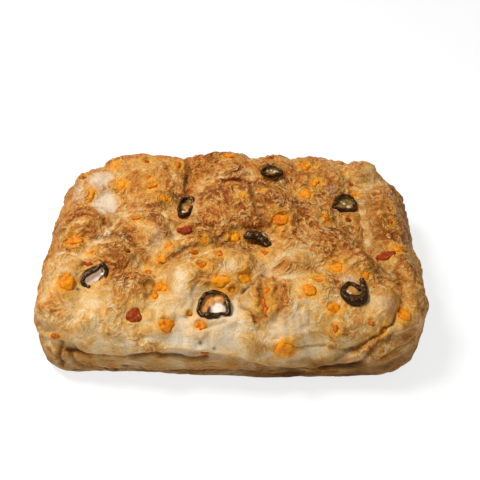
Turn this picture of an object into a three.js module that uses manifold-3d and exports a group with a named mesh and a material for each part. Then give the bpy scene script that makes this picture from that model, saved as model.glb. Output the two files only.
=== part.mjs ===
// A jalapeno and cheddar focaccia: one thick, pan-baked loaf of folded dough with a bumpy crust,
// seven slices of jalapeno pressed into the top and lumps of melted cheddar baked into the dough.
// The loaf lies flat on its base, its long side along X and its crust up. Millimetres throughout.
import * as THREE from "three";
import { mergeVertices } from "three/addons/utils/BufferGeometryUtils.js";
import Module from "manifold-3d";

const wasm = await Module();
wasm.setup();

// Size of the loaf
const length = 243;
const depth = 170;
const girthHeight = 22; // the widest level of the wall
const topHeight = 49; // the edge of the top, where the rounded shoulder ends
const crownRise = 3; // how much the middle of the top stands above its edge
const shoulderWidth = 21; // how far the rounded edge reaches in at the sides and back
const frontShoulderExtra = 11; // the front edge is rounder
const cornerRadii = { frontLeft: 30, frontRight: 42, backRight: 46, backLeft: 42 };
const frontLeftSetback = 4; // the left half of the front lies this much further back

// Mesh of the crust: columns along the front and along each side
const frontColumns = 40;
const sideColumns = 32;
const perimeterColumns = 2 * (frontColumns + sideColumns);
// Rows of the wall, as shares of the way from the seam up to the top and from the ground up to the seam
const rowsOverSeam = [1, 0.98, 0.92, 0.77, 0.56, 0.34, 0.14];
const rowsUnderSeam = [0.8, 0.25, 0];
// How far the foot is pulled in under the widest level: height and distance
const footProfile = [[0, 7], [2, 4.5], [5, 2.5], [12, 0.8], [22, 0]];

// Lumps of dough that crowd the top: centre, half length and half width, turn in degrees, rise
const lumps = [
  { x: -60, y: 54, long: 30, wide: 23, turn: 0, rise: 7 },
  { x: -62, y: 70, long: 30, wide: 12, turn: 6, rise: 6.5 },
  { x: -95, y: 46, long: 17, wide: 14, turn: 40, rise: 5 },
  { x: -97, y: 3, long: 22, wide: 16, turn: 30, rise: 7 },
  { x: -56, y: -4, long: 21, wide: 16, turn: 0, rise: 8 },
  { x: -50, y: 23, long: 16, wide: 10, turn: 0, rise: 6 },
  { x: -73, y: -27, long: 17, wide: 12, turn: -12, rise: 7 },
  { x: -102, y: -37, long: 16, wide: 16, turn: 0, rise: 6.5 },
  { x: -104, y: -65, long: 15, wide: 19, turn: 0, rise: 6 },
  { x: -60, y: -55, long: 16, wide: 17, turn: 0, rise: 7 },
  { x: -68, y: -77, long: 36, wide: 15, turn: 0, rise: 5 },
  { x: -27, y: -46, long: 12, wide: 19, turn: -8, rise: 6.5 },
  { x: -42, y: -70, long: 14, wide: 13, turn: 0, rise: 3 },
  { x: -25, y: -21, long: 20, wide: 10, turn: 12, rise: 7 },
  { x: -3, y: -35, long: 22, wide: 16, turn: 0, rise: 7 },
  { x: -4, y: 64, long: 22, wide: 18, turn: 0, rise: 10 },
  { x: 28, y: 59, long: 26, wide: 16, turn: 0, rise: 9 },
  { x: 6, y: 20, long: 38, wide: 23, turn: 3, rise: 10 },
  { x: -14, y: -2, long: 18, wide: 10, turn: 0, rise: 6.5 },
  { x: 47, y: 8, long: 19, wide: 14, turn: 0, rise: 8 },
  { x: 62, y: -16, long: 17, wide: 15, turn: 0, rise: 7 },
  { x: 36, y: -26, long: 17, wide: 14, turn: 0, rise: 6 },
  { x: 77, y: -32, long: 10, wide: 10, turn: 0, rise: 6 },
  { x: 62, y: 46, long: 22, wide: 17, turn: 0, rise: 6.5 },
  { x: 60, y: 66, long: 22, wide: 12, turn: 0, rise: 4.5 },
  { x: -27, y: 68, long: 14, wide: 12, turn: 0, rise: 5.5 },
  { x: 89, y: 57, long: 14, wide: 12, turn: 30, rise: 7 },
  { x: 43, y: -59, long: 22, wide: 16, turn: 0, rise: 6.5 },
  { x: 17, y: -61, long: 12, wide: 18, turn: -8, rise: 8 },
  { x: 70, y: -54, long: 14, wide: 12, turn: 0, rise: 4.5 },
  { x: 89, y: -64, long: 16, wide: 16, turn: 0, rise: 5 },
  { x: 100, y: 8, long: 33, wide: 13, turn: 88, rise: 6 },
  { x: 104, y: -36, long: 28, wide: 12, turn: 98, rise: 6 },
  { x: 66, y: -73, long: 20, wide: 14, turn: 0, rise: 5 },
  { x: 0, y: -77, long: 26, wide: 14, turn: 0, rise: 4.5 },
  { x: 36, y: -79, long: 22, wide: 13, turn: 0, rise: 4.5 },
];
const lumpFloor = -1.5; // depth of the lowest hollows between the lumps
const lumpSharpness = 1.3; // how tightly two lumps meet, per millimetre
const lumpSwell = 1.3; // above 1 the lumps have flatter tops and steeper sides

// Folds where one layer of dough laps over the next: a groove along each line of points
const folds = [
  {
    depth: 6,
    width: 4,
    line: [[99, -48, 50], [98, -60, 46], [93, -68, 42], [84, -75, 38], [75, -79, 35], [63, -82, 30]],
  },
  {
    depth: 4,
    width: 4,
    line: [[80, 42, 50], [86, 24, 50], [86, -7, 50], [86, -30, 50], [91, -42, 50], [99, -48, 50]],
  },
  { depth: 3, width: 4, line: [[-33, 90, 30], [-33, 72, 45], [-32, 56, 50], [-31, 40, 50]] },
  { depth: 3, width: 4, line: [[-44, -30, 50], [-30, -30, 50], [-14, -23, 50], [4, -16, 50]] },
  { depth: 6, width: 4, line: [[17, -52, 50], [15, -62, 49], [18, -72, 45]] },
  { depth: 4, width: 4, line: [[13, -45, 50], [6, -57, 50], [0, -68, 46]] },
  { depth: 6, width: 5, line: [[-110, -70, 34], [-100, -77, 31], [-94, -79, 28]] },
  { depth: 2, width: 4, line: [[18, -84, 31], [38, -84, 31], [63, -82, 30]] },
];

// The seam low on the wall, where the upper layer of dough overhangs the lower.
// Its height along the front, from left to right; elsewhere it stays at seamHeight.
const seamHeight = 27;
const frontSeam = [
  [-122, 24], [-104, 29], [-92, 26], [-78, 23], [-62, 24], [-47, 28], [-30, 29], [-14, 28], [6, 24],
  [24, 16], [40, 12], [52, 13], [62, 18], [71, 24], [82, 33], [95, 38], [110, 36], [122, 29],
];
const seamDepth = 4.5;
const seamLip = 1.3;
const underSeamInset = 2;
const seamWave = 3; // how far the seam wanders up and down elsewhere
const wallBulge = 2.4; // unevenness of the wall
const crustRipple = 0.8; // small unevenness all over
const flatFoot = 9; // below this height the unevenness fades out, so that the base is flat

// Slices of jalapeno: place, half sizes of the loop, turn, and the part of the loop that shows, in
// degrees. Where given, lean tips a slice forward in degrees, lift raises it out of the crust, wall is
// the width of its flesh, and heart says that the pith still fills its middle.
const wallOfSlice = 3.4;
const thicknessOfSlice = 4.4;
const slices = [
  {
    name: "jalapeno_front_left",
    x: -84, y: -41, long: 9.6, wide: 6.2, turn: 36, start: -20, sweep: 305, lean: 18, lift: 1.8,
  },
  {
    name: "jalapeno_front_middle",
    x: -11, y: -63, long: 10, wide: 10.6, turn: 0, start: 0, sweep: 360,
  },
  {
    name: "jalapeno_back_left",
    x: -32, y: 19, long: 9.6, wide: 5.2, turn: 72, start: 0, sweep: 360, heart: true,
  },
  {
    name: "jalapeno_middle",
    x: 15, y: -15, long: 10.5, wide: 10, turn: -25, start: 8, sweep: 165, lean: 24, lift: 1.4, wall: 4.8,
  },
  {
    name: "jalapeno_back",
    x: 25, y: 51, long: 8.6, wide: 6, turn: 0, start: 0, sweep: 360, heart: true,
  },
  {
    name: "jalapeno_back_right",
    x: 74, y: 26, long: 8.6, wide: 8, turn: -8, start: 0, sweep: 360, heart: true,
  },
  {
    name: "jalapeno_front_right",
    x: 70, y: -57, long: 8.2, wide: 8.4, turn: 0, start: 62, sweep: 330,
  },
];
const sliceSteps = 18;
const sliceSink = 0.6; // how far the middle of a slice lies under the crust

// Cheddar: the larger lumps are pieces of their own, set in the dough. A place is x and y on the top,
// or x and the height z on the front; long and wide are the whole length and width.
const cheddarLumps = [
  { x: -77, y: 39, long: 8.5, wide: 8 },
  { x: -56, y: 40, long: 9.5, wide: 7.5 },
  { x: -99, y: -15, long: 13, wide: 7 },
  { x: -2, y: -11, long: 8, wide: 8 },
  { x: -19, y: -39, long: 8, wide: 10 },
  { x: -98, y: -50, long: 8.5, wide: 13 },
  { x: -43, y: -55, long: 10, wide: 13 },
  { x: -6, y: -49, long: 12.5, wide: 7.5 },
  { x: -56, z: 44, long: 9.5, wide: 10 },
  { x: -38, z: 42, long: 9, wide: 9.5 },
  { x: -18, z: 41, long: 7.5, wide: 7.5 },
  { x: -3, y: 62, long: 12.5, wide: 8 },
  { x: 49, y: 56, long: 9.5, wide: 8.5 },
  { x: 55, y: 38, long: 7, wide: 10.5 },
  { x: 48, y: 29, long: 8, wide: 8.5 },
  { x: 31, y: 1, long: 13, wide: 12 },
  { x: 18, y: -25, long: 7.5, wide: 7.5 },
  { x: 94, y: -30, long: 12, wide: 9 },
  { x: 63, y: -37, long: 9.5, wide: 7 },
  { x: 50, y: -45, long: 10.5, wide: 7 },
  { x: 44, y: -58, long: 9, wide: 8 },
  { x: 58, y: -68, long: 8, wide: 7.5 },
  { x: 30, z: 34, long: 11, wide: 12 },
  { x: 98, y: -68, long: 8.5, wide: 9 },
  { x: 8, y: -48, long: 8, wide: 8 },
];
const cheddarFlatness = 0.7; // height of a lump against its shorter side
const cheddarSink = 0.24; // how much lower than half way in it is set, as a share of its height
// The smaller bits are fused to the crust
const cheddarBits = [
  { x: -83, y: 61, size: 7 },
  { x: -62, y: 64, size: 5.5 },
  { x: -39, y: 62, size: 7.5 },
  { x: -95, y: 31, size: 8 },
  { x: -59, y: 46, size: 5.5 },
  { x: -46, y: 24, size: 7.5 },
  { x: -62, y: 1, size: 8 },
  { x: -87, y: -26, size: 7 },
  { x: -41, y: -18, size: 7 },
  { x: -19, y: -17, size: 7 },
  { x: -43, y: -30, size: 7 },
  { x: -8, y: -30, size: 5.5 },
  { x: -28, y: -67, size: 7 },
  { x: -31, y: -4, size: 8.5 },
  { x: -24, y: -26, size: 5 },
  { x: 82, y: 38, size: 7 },
  { x: 60, y: 6, size: 6.5 },
  { x: 74, y: 10, size: 6.5 },
  { x: 101, y: 2, size: 7 },
  { x: 98, y: -21, size: 7 },
  { x: 107, y: -20, size: 6.5 },
  { x: 79, y: -43, size: 7.5 },
  { x: 58, z: 40, size: 6.5 },
  { x: 79, y: -74, size: 7 },
  { x: 85, z: 40, size: 6 },
  { x: 20, y: -54, size: 5.5 },
  { x: -104, y: 49, size: 6 },
  { x: -104, z: 32, size: 8.5 },
  { x: -15, z: 28, size: 5.5 },
  { x: 18, y: -67, size: 6.5 },
];
const bitSink = 0.08;
const wallBits = { count: 12, lowest: 14, highest: 38, smallest: 5, largest: 8, seed: 7 };
const pocketGap = 0.35; // air between a piece and the dough round it
const weldDistance = 0.01; // corners closer than this become one

const degrees = Math.PI / 180;
const colours = { crust: 0xcf9a5c, jalapeno: 0x3a3016, cheddar: 0xf59a1e };

// A repeatable random number from 0 to 1 for a lattice point
function lattice(i, j, k) {
  const n = Math.sin(i * 127.1 + j * 311.7 + k * 74.7) * 43758.5453;
  return n - Math.floor(n);
}

// Smooth noise from -1 to 1, with bumps about the given size
function noise(point, size) {
  const cell = [point.x / size, point.y / size, point.z / size];
  const base = cell.map(Math.floor);
  const ease = cell.map((c, a) => THREE.MathUtils.smoothstep(c - base[a], 0, 1));
  let sum = 0;
  for (const i of [0, 1]) {
    for (const j of [0, 1]) {
      for (const k of [0, 1]) {
        const weight =
          (i ? ease[0] : 1 - ease[0]) * (j ? ease[1] : 1 - ease[1]) * (k ? ease[2] : 1 - ease[2]);
        sum += weight * lattice(base[0] + i, base[1] + j, base[2] + k);
      }
    }
  }
  return 2 * sum - 1;
}

// The loaf's outline at its widest level, from the middle of the front left corner round to itself
function outlineColumns() {
  const [hx, hy] = [length / 2, depth / 2];
  const { frontLeft, frontRight, backRight, backLeft } = cornerRadii;
  const path = new THREE.Path();
  const arc = (sx, sy, r, from, to) =>
    path.absarc(sx * (hx - r), sy * (hy - r), r, from * degrees, to * degrees);
  arc(-1, -1, frontLeft, 225, 270);
  arc(1, -1, frontRight, 270, 360);
  arc(1, 1, backRight, 0, 90);
  arc(-1, 1, backLeft, 90, 180);
  arc(-1, -1, frontLeft, 180, 225);
  const points = path.getSpacedPoints(perimeterColumns).slice(0, perimeterColumns);
  for (const p of points) {
    const inFront = THREE.MathUtils.smoothstep(-p.y, 0, hy);
    p.y += frontLeftSetback * inFront * THREE.MathUtils.smoothstep(-p.x, -20, 90);
  }
  return points.map((p, i) => {
    const before = points[(i + perimeterColumns - 1) % perimeterColumns];
    const after = points[(i + 1) % perimeterColumns];
    const along = after.clone().sub(before).normalize();
    return { x: p.x, y: p.y, out: new THREE.Vector2(along.y, -along.x) };
  });
}

// Straight lines between the points of a list of [place, value], held at both ends
function between(list, place) {
  const next = list.findIndex(([at]) => at >= place);
  if (next === 0) return list[0][1];
  if (next < 0) return list.at(-1)[1];
  const [[a, from], [b, to]] = [list[next - 1], list[next]];
  return THREE.MathUtils.mapLinear(place, a, b, from, to);
}

// How much the lumps of dough raise the top at a place
function lumpRise(x, y) {
  let sum = Math.exp(lumpSharpness * lumpFloor);
  for (const lump of lumps) {
    const [c, s] = [Math.cos(lump.turn * degrees), Math.sin(lump.turn * degrees)];
    const u = (c * (x - lump.x) + s * (y - lump.y)) / lump.long;
    const v = (c * (y - lump.y) - s * (x - lump.x)) / lump.wide;
    const across = (u * u + v * v) ** lumpSwell;
    if (across < 5) sum += Math.exp(lumpSharpness * lump.rise * (1 - across));
  }
  return Math.log(sum) / lumpSharpness;
}

// How deep the folds cut at a point
function foldDepth(point) {
  let deepest = 0;
  const nearest = new THREE.Vector3();
  for (const fold of folds) {
    for (let i = 1; i < fold.line.length; i++) {
      const stretch = new THREE.Line3(
        new THREE.Vector3(...fold.line[i - 1]),
        new THREE.Vector3(...fold.line[i]),
      );
      stretch.closestPointToPoint(point, true, nearest);
      const away = point.distanceTo(nearest) / fold.width;
      deepest = Math.max(deepest, fold.depth * Math.exp(-away * away));
    }
  }
  return deepest;
}

// Moves a point of the plain slab out to the uneven crust; upward is 1 on the top and 0 on the wall
function roughen(point, normal, upward) {
  const top = lumpRise(point.x, point.y);
  const wall = wallBulge * noise(point, 26) + 0.5 * wallBulge * noise(point, 13);
  const ripple = crustRipple * noise(point, 9);
  const fade = THREE.MathUtils.smoothstep(point.z, 0, flatFoot);
  const move = (upward * top + (1 - upward) * wall + ripple - foldDepth(point)) * fade;
  return point.clone().addScaledVector(normal, move);
}

// How strongly the seam shows at a column: clear along the front, faint at the back
function seamStrength(column) {
  const front = THREE.MathUtils.smoothstep(-column.out.y, -0.3, 0.8);
  const broken = THREE.MathUtils.smoothstep(noise({ x: column.x, y: column.y, z: 0 }, 34), -0.9, 0.1);
  return (0.35 + 0.65 * front) * broken;
}

function seamAt(column) {
  const front = THREE.MathUtils.smoothstep(-column.out.y, 0.1, 0.7);
  const elsewhere = seamHeight + seamWave * noise({ x: column.x, y: column.y, z: 50 }, 40);
  return THREE.MathUtils.lerp(elsewhere, between(frontSeam, column.x), front);
}

// A point of the plain wall at a height, moved out to the uneven crust and then by an extra step
function wallPoint(column, height, step) {
  const width = shoulderWidth + frontShoulderExtra * Math.max(0, -column.out.y);
  const s = THREE.MathUtils.clamp((height - girthHeight) / (topHeight - girthHeight), 0, 1);
  const c = Math.sqrt(1 - s * s);
  const inset = height > girthHeight ? width * (1 - c) : between(footProfile, height);
  const point = new THREE.Vector3(
    column.x - inset * column.out.x,
    column.y - inset * column.out.y,
    height,
  );
  const normal = new THREE.Vector3(c * column.out.x, c * column.out.y, s).normalize();
  return roughen(point, normal, s ** 1.5).addScaledVector(normal, step);
}

// The rings of points of the wall, from the edge of the top down to the foot
function wallRings(columns) {
  const ring = (heightFrom, step) =>
    columns.map((column) => {
      const seam = seamAt(column);
      return wallPoint(column, heightFrom(seam), step * seamStrength(column));
    });
  const lastOver = rowsOverSeam.length - 1;
  return [
    ...rowsOverSeam.map((share, row) =>
      ring((seam) => seam + share * (topHeight - seam), row === lastOver ? seamLip : 0),
    ),
    ring((seam) => seam, -seamDepth),
    ...rowsUnderSeam.map((share, row) =>
      ring((seam) => share * seam, row === 0 ? -underSeamInset : 0),
    ),
  ];
}

// A point of the top: the four edges blended across the middle, then crowned and roughened
function topPoint(rim, u, v, i, j) {
  const [n, m] = [frontColumns, sideColumns];
  const [front, back] = [rim[i], rim[2 * n + m - i]];
  const [left, right] = [rim[(perimeterColumns - j) % perimeterColumns], rim[n + j]];
  const blend = (axis) =>
    (1 - v) * front[axis] + v * back[axis] + (1 - u) * left[axis] + u * right[axis] -
    (1 - u) * (1 - v) * rim[0][axis] - u * (1 - v) * rim[n][axis] -
    (1 - u) * v * rim[2 * n + m][axis] - u * v * rim[n + m][axis];
  const crown = crownRise * 16 * u * (1 - u) * v * (1 - v);
  const point = new THREE.Vector3(blend("x"), blend("y"), topHeight + crown);
  return roughen(point, new THREE.Vector3(0, 0, 1), 1);
}

// The whole crust as one closed mesh: top, wall and flat base
function crustGeometry() {
  const columns = outlineColumns();
  const rings = wallRings(columns);
  const vertices = rings.flat();
  const faces = [];
  const quad = (a, b, c, d) => faces.push([a, b, c], [a, c, d]);
  for (let row = 1; row < rings.length; row++) {
    for (let i = 0; i < perimeterColumns; i++) {
      const next = (i + 1) % perimeterColumns;
      const [above, below] = [(row - 1) * perimeterColumns, row * perimeterColumns];
      quad(below + i, below + next, above + next, above + i);
    }
  }
  const flatRim = columns.map((column) => {
    const inset = shoulderWidth + frontShoulderExtra * Math.max(0, -column.out.y);
    return { x: column.x - inset * column.out.x, y: column.y - inset * column.out.y };
  });
  const [n, m] = [frontColumns, sideColumns];
  const grid = [];
  for (let j = 0; j <= m; j++) {
    grid.push([]);
    for (let i = 0; i <= n; i++) {
      let at = vertices.length;
      if (j === 0) at = i;
      else if (i === n) at = n + j;
      else if (j === m) at = 2 * n + m - i;
      else if (i === 0) at = perimeterColumns - j;
      else vertices.push(topPoint(flatRim, i / n, j / m, i, j));
      grid[j].push(at);
    }
  }
  for (let j = 0; j < m; j++) {
    for (let i = 0; i < n; i++) {
      const [a, b, c, d] = [grid[j][i], grid[j][i + 1], grid[j + 1][i + 1], grid[j + 1][i]];
      const towardMiddle = i < n / 2 === j < m / 2;
      if (towardMiddle) quad(a, b, c, d);
      else quad(b, c, d, a);
    }
  }
  const foot = (rings.length - 1) * perimeterColumns;
  const contour = rings.at(-1).map((p) => new THREE.Vector2(p.x, p.y));
  for (const [a, b, c] of THREE.ShapeUtils.triangulateShape(contour, [])) {
    faces.push([foot + c, foot + b, foot + a]);
  }
  const geometry = new THREE.BufferGeometry().setFromPoints(vertices);
  geometry.setIndex(faces.flat());
  geometry.computeVertexNormals();
  return geometry;
}

// A closed mesh as a solid that can be joined and cut, and back again
function solid(geometry) {
  const bare = new THREE.BufferGeometry();
  bare.setAttribute("position", geometry.getAttribute("position"));
  if (geometry.index) bare.setIndex(geometry.index);
  const merged = mergeVertices(bare, 1e-4);
  return new wasm.Manifold(
    new wasm.Mesh({
      numProp: 3,
      vertProperties: merged.attributes.position.array,
      triVerts: new Uint32Array(merged.index.array),
    }),
  );
}

function geometryOf(made) {
  const { vertProperties, triVerts } = made.getMesh();
  const cut = new THREE.BufferGeometry();
  cut.setAttribute("position", new THREE.BufferAttribute(vertProperties, 3));
  cut.setIndex(new THREE.BufferAttribute(triVerts, 1));
  const geometry = mergeVertices(cut, weldDistance);
  const corners = geometry.index.array;
  const faces = [];
  for (let i = 0; i < corners.length; i += 3) {
    const [a, b, c] = corners.slice(i, i + 3);
    if (a !== b && b !== c && c !== a) faces.push(a, b, c);
  }
  geometry.setIndex(faces);
  geometry.computeVertexNormals();
  return geometry;
}

// Where a ray meets the crust, and which way is out there
function crustProbe(geometry) {
  const target = new THREE.Mesh(geometry, new THREE.MeshBasicMaterial());
  const caster = new THREE.Raycaster();
  return (from, towards) => {
    caster.set(from, towards.clone().normalize());
    return caster.intersectObject(target)[0];
  };
}

// The frame of a topping in the crust: Z out of the crust, X turned from the loaf's X. A place is
// given by x and y on the top, or by x and the height z on the front.
function toppingFrame(probe, place, reach, turn, leanForward = 0) {
  const onFront = place.z !== undefined;
  const [from, towards] = onFront
    ? [new THREE.Vector3(place.x, -200, place.z), new THREE.Vector3(0, 1, 0)]
    : [new THREE.Vector3(place.x, place.y, 200), new THREE.Vector3(0, 0, -1)];
  const steps = [[0, 0], [reach, 0], [-reach, 0], [0, reach], [0, -reach]];
  const hits = steps.map(([dx, dy]) =>
    probe(from.clone().add(new THREE.Vector3(dx, onFront ? 0 : dy, onFront ? dy : 0)), towards),
  );
  const out = new THREE.Vector3();
  for (const hit of hits) if (hit) out.add(hit.normal);
  out.applyAxisAngle(new THREE.Vector3(1, 0, 0), leanForward * degrees);
  const up = new THREE.Vector3(0, 0, 1);
  const spin = new THREE.Quaternion().setFromAxisAngle(up, turn * degrees);
  const lean = new THREE.Quaternion().setFromUnitVectors(up, out.normalize());
  return new THREE.Matrix4()
    .makeRotationFromQuaternion(lean.multiply(spin))
    .setPosition(hits[0].point);
}

const wallOf = (slice) => slice.wall ?? wallOfSlice;

// Where the loop of a slice runs at an angle: uneven all round, in the slice's own frame
function loopPoint(slice, angle, wide, up) {
  const at = { x: 3 * Math.cos(angle), y: 3 * Math.sin(angle), z: slice.x };
  const uneven = 1 + 0.07 * noise(at, 1.7);
  return new THREE.Vector3(
    (slice.long * uneven - wallOf(slice) / 2 + wide) * Math.cos(angle),
    (slice.wide * uneven - wallOf(slice) / 2 + wide) * Math.sin(angle),
    up + 0.7 * noise(at, 1.3),
  );
}

// A slice of pepper: a band swept round an uneven loop. Where only part of the loop shows, its ends
// are closed; where the pith still fills it, the band is closed across the middle.
function sliceGeometry(slice, corners, grow) {
  const whole = slice.sweep === 360;
  const steps = whole ? sliceSteps : Math.round((sliceSteps * slice.sweep) / 360) + 1;
  const reach = { wide: wallOf(slice) / 2 + grow, up: thicknessOfSlice / 2 + grow };
  const vertices = [];
  for (let i = 0; i < steps; i++) {
    const share = whole ? i / steps : i / (steps - 1);
    const overrun = whole ? 0 : (1.3 * grow * (2 * share - 1)) / slice.wide;
    const angle = (slice.start + slice.sweep * share) * degrees + overrun;
    const taper = whole ? 1 : 0.75 + 0.25 * Math.min(1, 5 * share, 5 * (1 - share));
    for (const [wide, up] of corners) {
      vertices.push(loopPoint(slice, angle, reach.wide * wide * taper, reach.up * up * taper));
    }
  }
  const sides = corners.length;
  const faces = [];
  const bands = whole ? steps : steps - 1;
  const open = slice.heart ? 1 : 0;
  for (let i = 0; i < bands; i++) {
    for (let k = 0; k < sides - open; k++) {
      const [here, there] = [i * sides, ((i + 1) % steps) * sides];
      const next = (k + 1) % sides;
      faces.push([here + k, there + k, there + next], [here + k, there + next, here + next]);
    }
  }
  if (slice.heart) {
    const half = { top: grow - 1.2, bottom: -grow - 2.2 };
    vertices.push(new THREE.Vector3(0, 0, half.bottom), new THREE.Vector3(0, 0, half.top));
    for (let i = 0; i < steps; i++) {
      const [here, there] = [i * sides, ((i + 1) % steps) * sides];
      faces.push([vertices.length - 2, there, here]);
      faces.push([vertices.length - 1, here + sides - 1, there + sides - 1]);
    }
  } else if (!whole) {
    const last = (steps - 1) * sides;
    for (let k = 1; k < sides - 1; k++) {
      faces.push([0, k, k + 1], [last, last + k + 1, last + k]);
    }
  }
  const geometry = new THREE.BufferGeometry().setFromPoints(vertices);
  return geometry.setIndex(faces.flat());
}

// The section of the band, anticlockwise from its inner lower corner, and a plainer one to cut with
const bandSection = [[-0.8, -0.5], [0, -1], [0.9, -0.6], [1, 0.5], [0.1, 1], [-0.9, 0.5]];
const pocketSection = [[-1, -1], [1, -1], [1, 1], [-1, 1]];

function slicePair(slice, frame) {
  return {
    made: solid(sliceGeometry(slice, bandSection, 0).applyMatrix4(frame)),
    pocket: solid(sliceGeometry(slice, pocketSection, pocketGap).applyMatrix4(frame)),
  };
}

// A lump of cheese: a cube with melted, uneven corners; a bit is the same from a coarser body
function cheddarGeometry(lump, body, grow) {
  const geometry = mergeVertices(body.deleteAttribute("normal").deleteAttribute("uv"), 1e-4);
  const places = geometry.getAttribute("position");
  const height = cheddarFlatness * Math.min(lump.long, lump.wide);
  const half = new THREE.Vector3(lump.long / 2 + grow, lump.wide / 2 + grow, height / 2 + grow);
  const point = new THREE.Vector3();
  for (let i = 0; i < places.count; i++) {
    point.fromBufferAttribute(places, i);
    const round = (Math.abs(point.x) ** 3 + Math.abs(point.y) ** 3 + Math.abs(point.z) ** 3) ** (1 / 3);
    point.divideScalar(round);
    const uneven = 1 + 0.14 * noise({ x: point.x + lump.x, y: point.y, z: point.z + lump.long }, 0.9);
    point.multiply(half).multiplyScalar(uneven);
    places.setXYZ(i, point.x, point.y, point.z);
  }
  return geometry;
}

const lumpBody = () => new THREE.BoxGeometry(2, 2, 2, 2, 2, 2);
const bitBody = () => new THREE.IcosahedronGeometry(1, 0);

function sunkInCrust(frame, lump, share) {
  const height = cheddarFlatness * Math.min(lump.long, lump.wide);
  return frame.clone().multiply(new THREE.Matrix4().makeTranslation(0, 0, -height * share));
}

// Bits of cheddar on the wall, drawn by a seeded rule and kept off the front, which has its own
function drawnWallBits(probe) {
  const random = (i, k) => lattice(i, k, wallBits.seed);
  const bits = [];
  for (let i = 0; i < wallBits.count; i++) {
    const angle = (-25 + (230 * (i + 0.7 * random(i, 1))) / wallBits.count) * degrees;
    const height = THREE.MathUtils.lerp(wallBits.lowest, wallBits.highest, random(i, 2));
    const size = THREE.MathUtils.lerp(wallBits.smallest, wallBits.largest, random(i, 3));
    const from = new THREE.Vector3(length * Math.cos(angle), length * Math.sin(angle), height);
    const inward = new THREE.Vector3(-from.x, -from.y, 0);
    bits.push({ at: probe(from, inward).point, turn: angle / degrees, size });
  }
  return bits;
}

function buildLoaf() {
  const plain = crustGeometry();
  const probe = crustProbe(plain);
  let bread = solid(plain);
  for (const bit of cheddarBits) {
    const lump = { x: bit.x, long: bit.size, wide: bit.size * 0.85 };
    const turn = 40 * noise({ x: bit.x, y: bit.size, z: 0 }, 5);
    const frame = sunkInCrust(toppingFrame(probe, bit, bit.size / 2, turn), lump, bitSink);
    bread = bread.add(solid(cheddarGeometry(lump, bitBody(), 0).applyMatrix4(frame)));
  }
  for (const bit of drawnWallBits(probe)) {
    const lump = { x: bit.at.x, long: bit.size, wide: bit.size };
    const frame = new THREE.Matrix4().makeRotationZ(bit.turn * degrees).setPosition(bit.at);
    bread = bread.add(solid(cheddarGeometry(lump, bitBody(), 0).applyMatrix4(frame)));
  }

  const pieces = [];
  for (const slice of slices) {
    const reach = Math.min(slice.long, slice.wide);
    const frame = toppingFrame(probe, slice, reach, slice.turn, slice.lean);
    frame.multiply(new THREE.Matrix4().makeTranslation(0, 0, (slice.lift ?? 0) - sliceSink));
    const { made, pocket } = slicePair(slice, frame);
    pieces.push({ name: slice.name, finish: "jalapeno", made });
    bread = bread.subtract(pocket);
  }
  cheddarLumps.forEach((lump, i) => {
    const turn = 35 * noise({ x: lump.x, y: lump.long, z: lump.wide }, 7);
    const frame = toppingFrame(probe, lump, Math.min(lump.long, lump.wide) / 2, turn);
    const placed = sunkInCrust(frame, lump, cheddarSink);
    const name = "cheddar_" + String(i + 1).padStart(2, "0");
    const made = solid(cheddarGeometry(lump, lumpBody(), 0).applyMatrix4(placed));
    pieces.push({ name, finish: "cheddar", made });
    bread = bread.subtract(solid(cheddarGeometry(lump, lumpBody(), pocketGap).applyMatrix4(placed)));
  });
  const [whole] = bread.decompose().sort((a, b) => b.volume() - a.volume());
  pieces.unshift({ name: "bread", finish: "crust", made: whole });
  return pieces;
}

function assemble(pieces) {
  const finishes = {
    crust: new THREE.MeshStandardMaterial({ color: colours.crust, roughness: 0.6, metalness: 0 }),
    jalapeno: new THREE.MeshStandardMaterial({ color: colours.jalapeno, roughness: 0.3, metalness: 0 }),
    cheddar: new THREE.MeshStandardMaterial({ color: colours.cheddar, roughness: 0.4, metalness: 0 }),
  };
  const group = new THREE.Group();
  for (const { name, finish, made } of pieces) {
    const mesh = new THREE.Mesh(geometryOf(made), finishes[finish]);
    mesh.name = name;
    group.add(mesh);
  }
  const box = new THREE.Box3().setFromObject(group);
  const middle = box.getCenter(new THREE.Vector3());
  group.position.set(-middle.x, -middle.y, -box.min.z);
  return group;
}

export default assemble(buildLoaf());
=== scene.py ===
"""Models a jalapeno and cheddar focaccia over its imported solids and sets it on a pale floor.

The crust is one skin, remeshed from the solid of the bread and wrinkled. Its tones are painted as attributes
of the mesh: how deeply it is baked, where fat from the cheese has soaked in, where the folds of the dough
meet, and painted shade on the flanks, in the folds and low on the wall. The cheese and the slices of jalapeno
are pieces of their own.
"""

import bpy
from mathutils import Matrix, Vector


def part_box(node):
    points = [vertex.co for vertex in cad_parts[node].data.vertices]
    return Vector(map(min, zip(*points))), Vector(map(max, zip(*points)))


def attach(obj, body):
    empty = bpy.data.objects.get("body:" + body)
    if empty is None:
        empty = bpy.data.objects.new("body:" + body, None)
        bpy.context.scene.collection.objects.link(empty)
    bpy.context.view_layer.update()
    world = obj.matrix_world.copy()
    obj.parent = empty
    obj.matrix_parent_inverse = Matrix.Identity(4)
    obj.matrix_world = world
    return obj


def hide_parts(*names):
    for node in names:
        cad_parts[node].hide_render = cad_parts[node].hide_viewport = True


bl_info = {
    "name": "Jalapeno focaccia",
    "version": (1, 0, 0),
    "blender": (4, 5, 0),
    "location": "3D View > Sidebar > Focaccia",
    "description": "Models a baked loaf with cheddar and slices of jalapeno, and its stage",
    "category": "Object",
}

import math

import bpy
import numpy as np
from mathutils import Matrix, Vector
from mathutils.bvhtree import BVHTree

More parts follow.
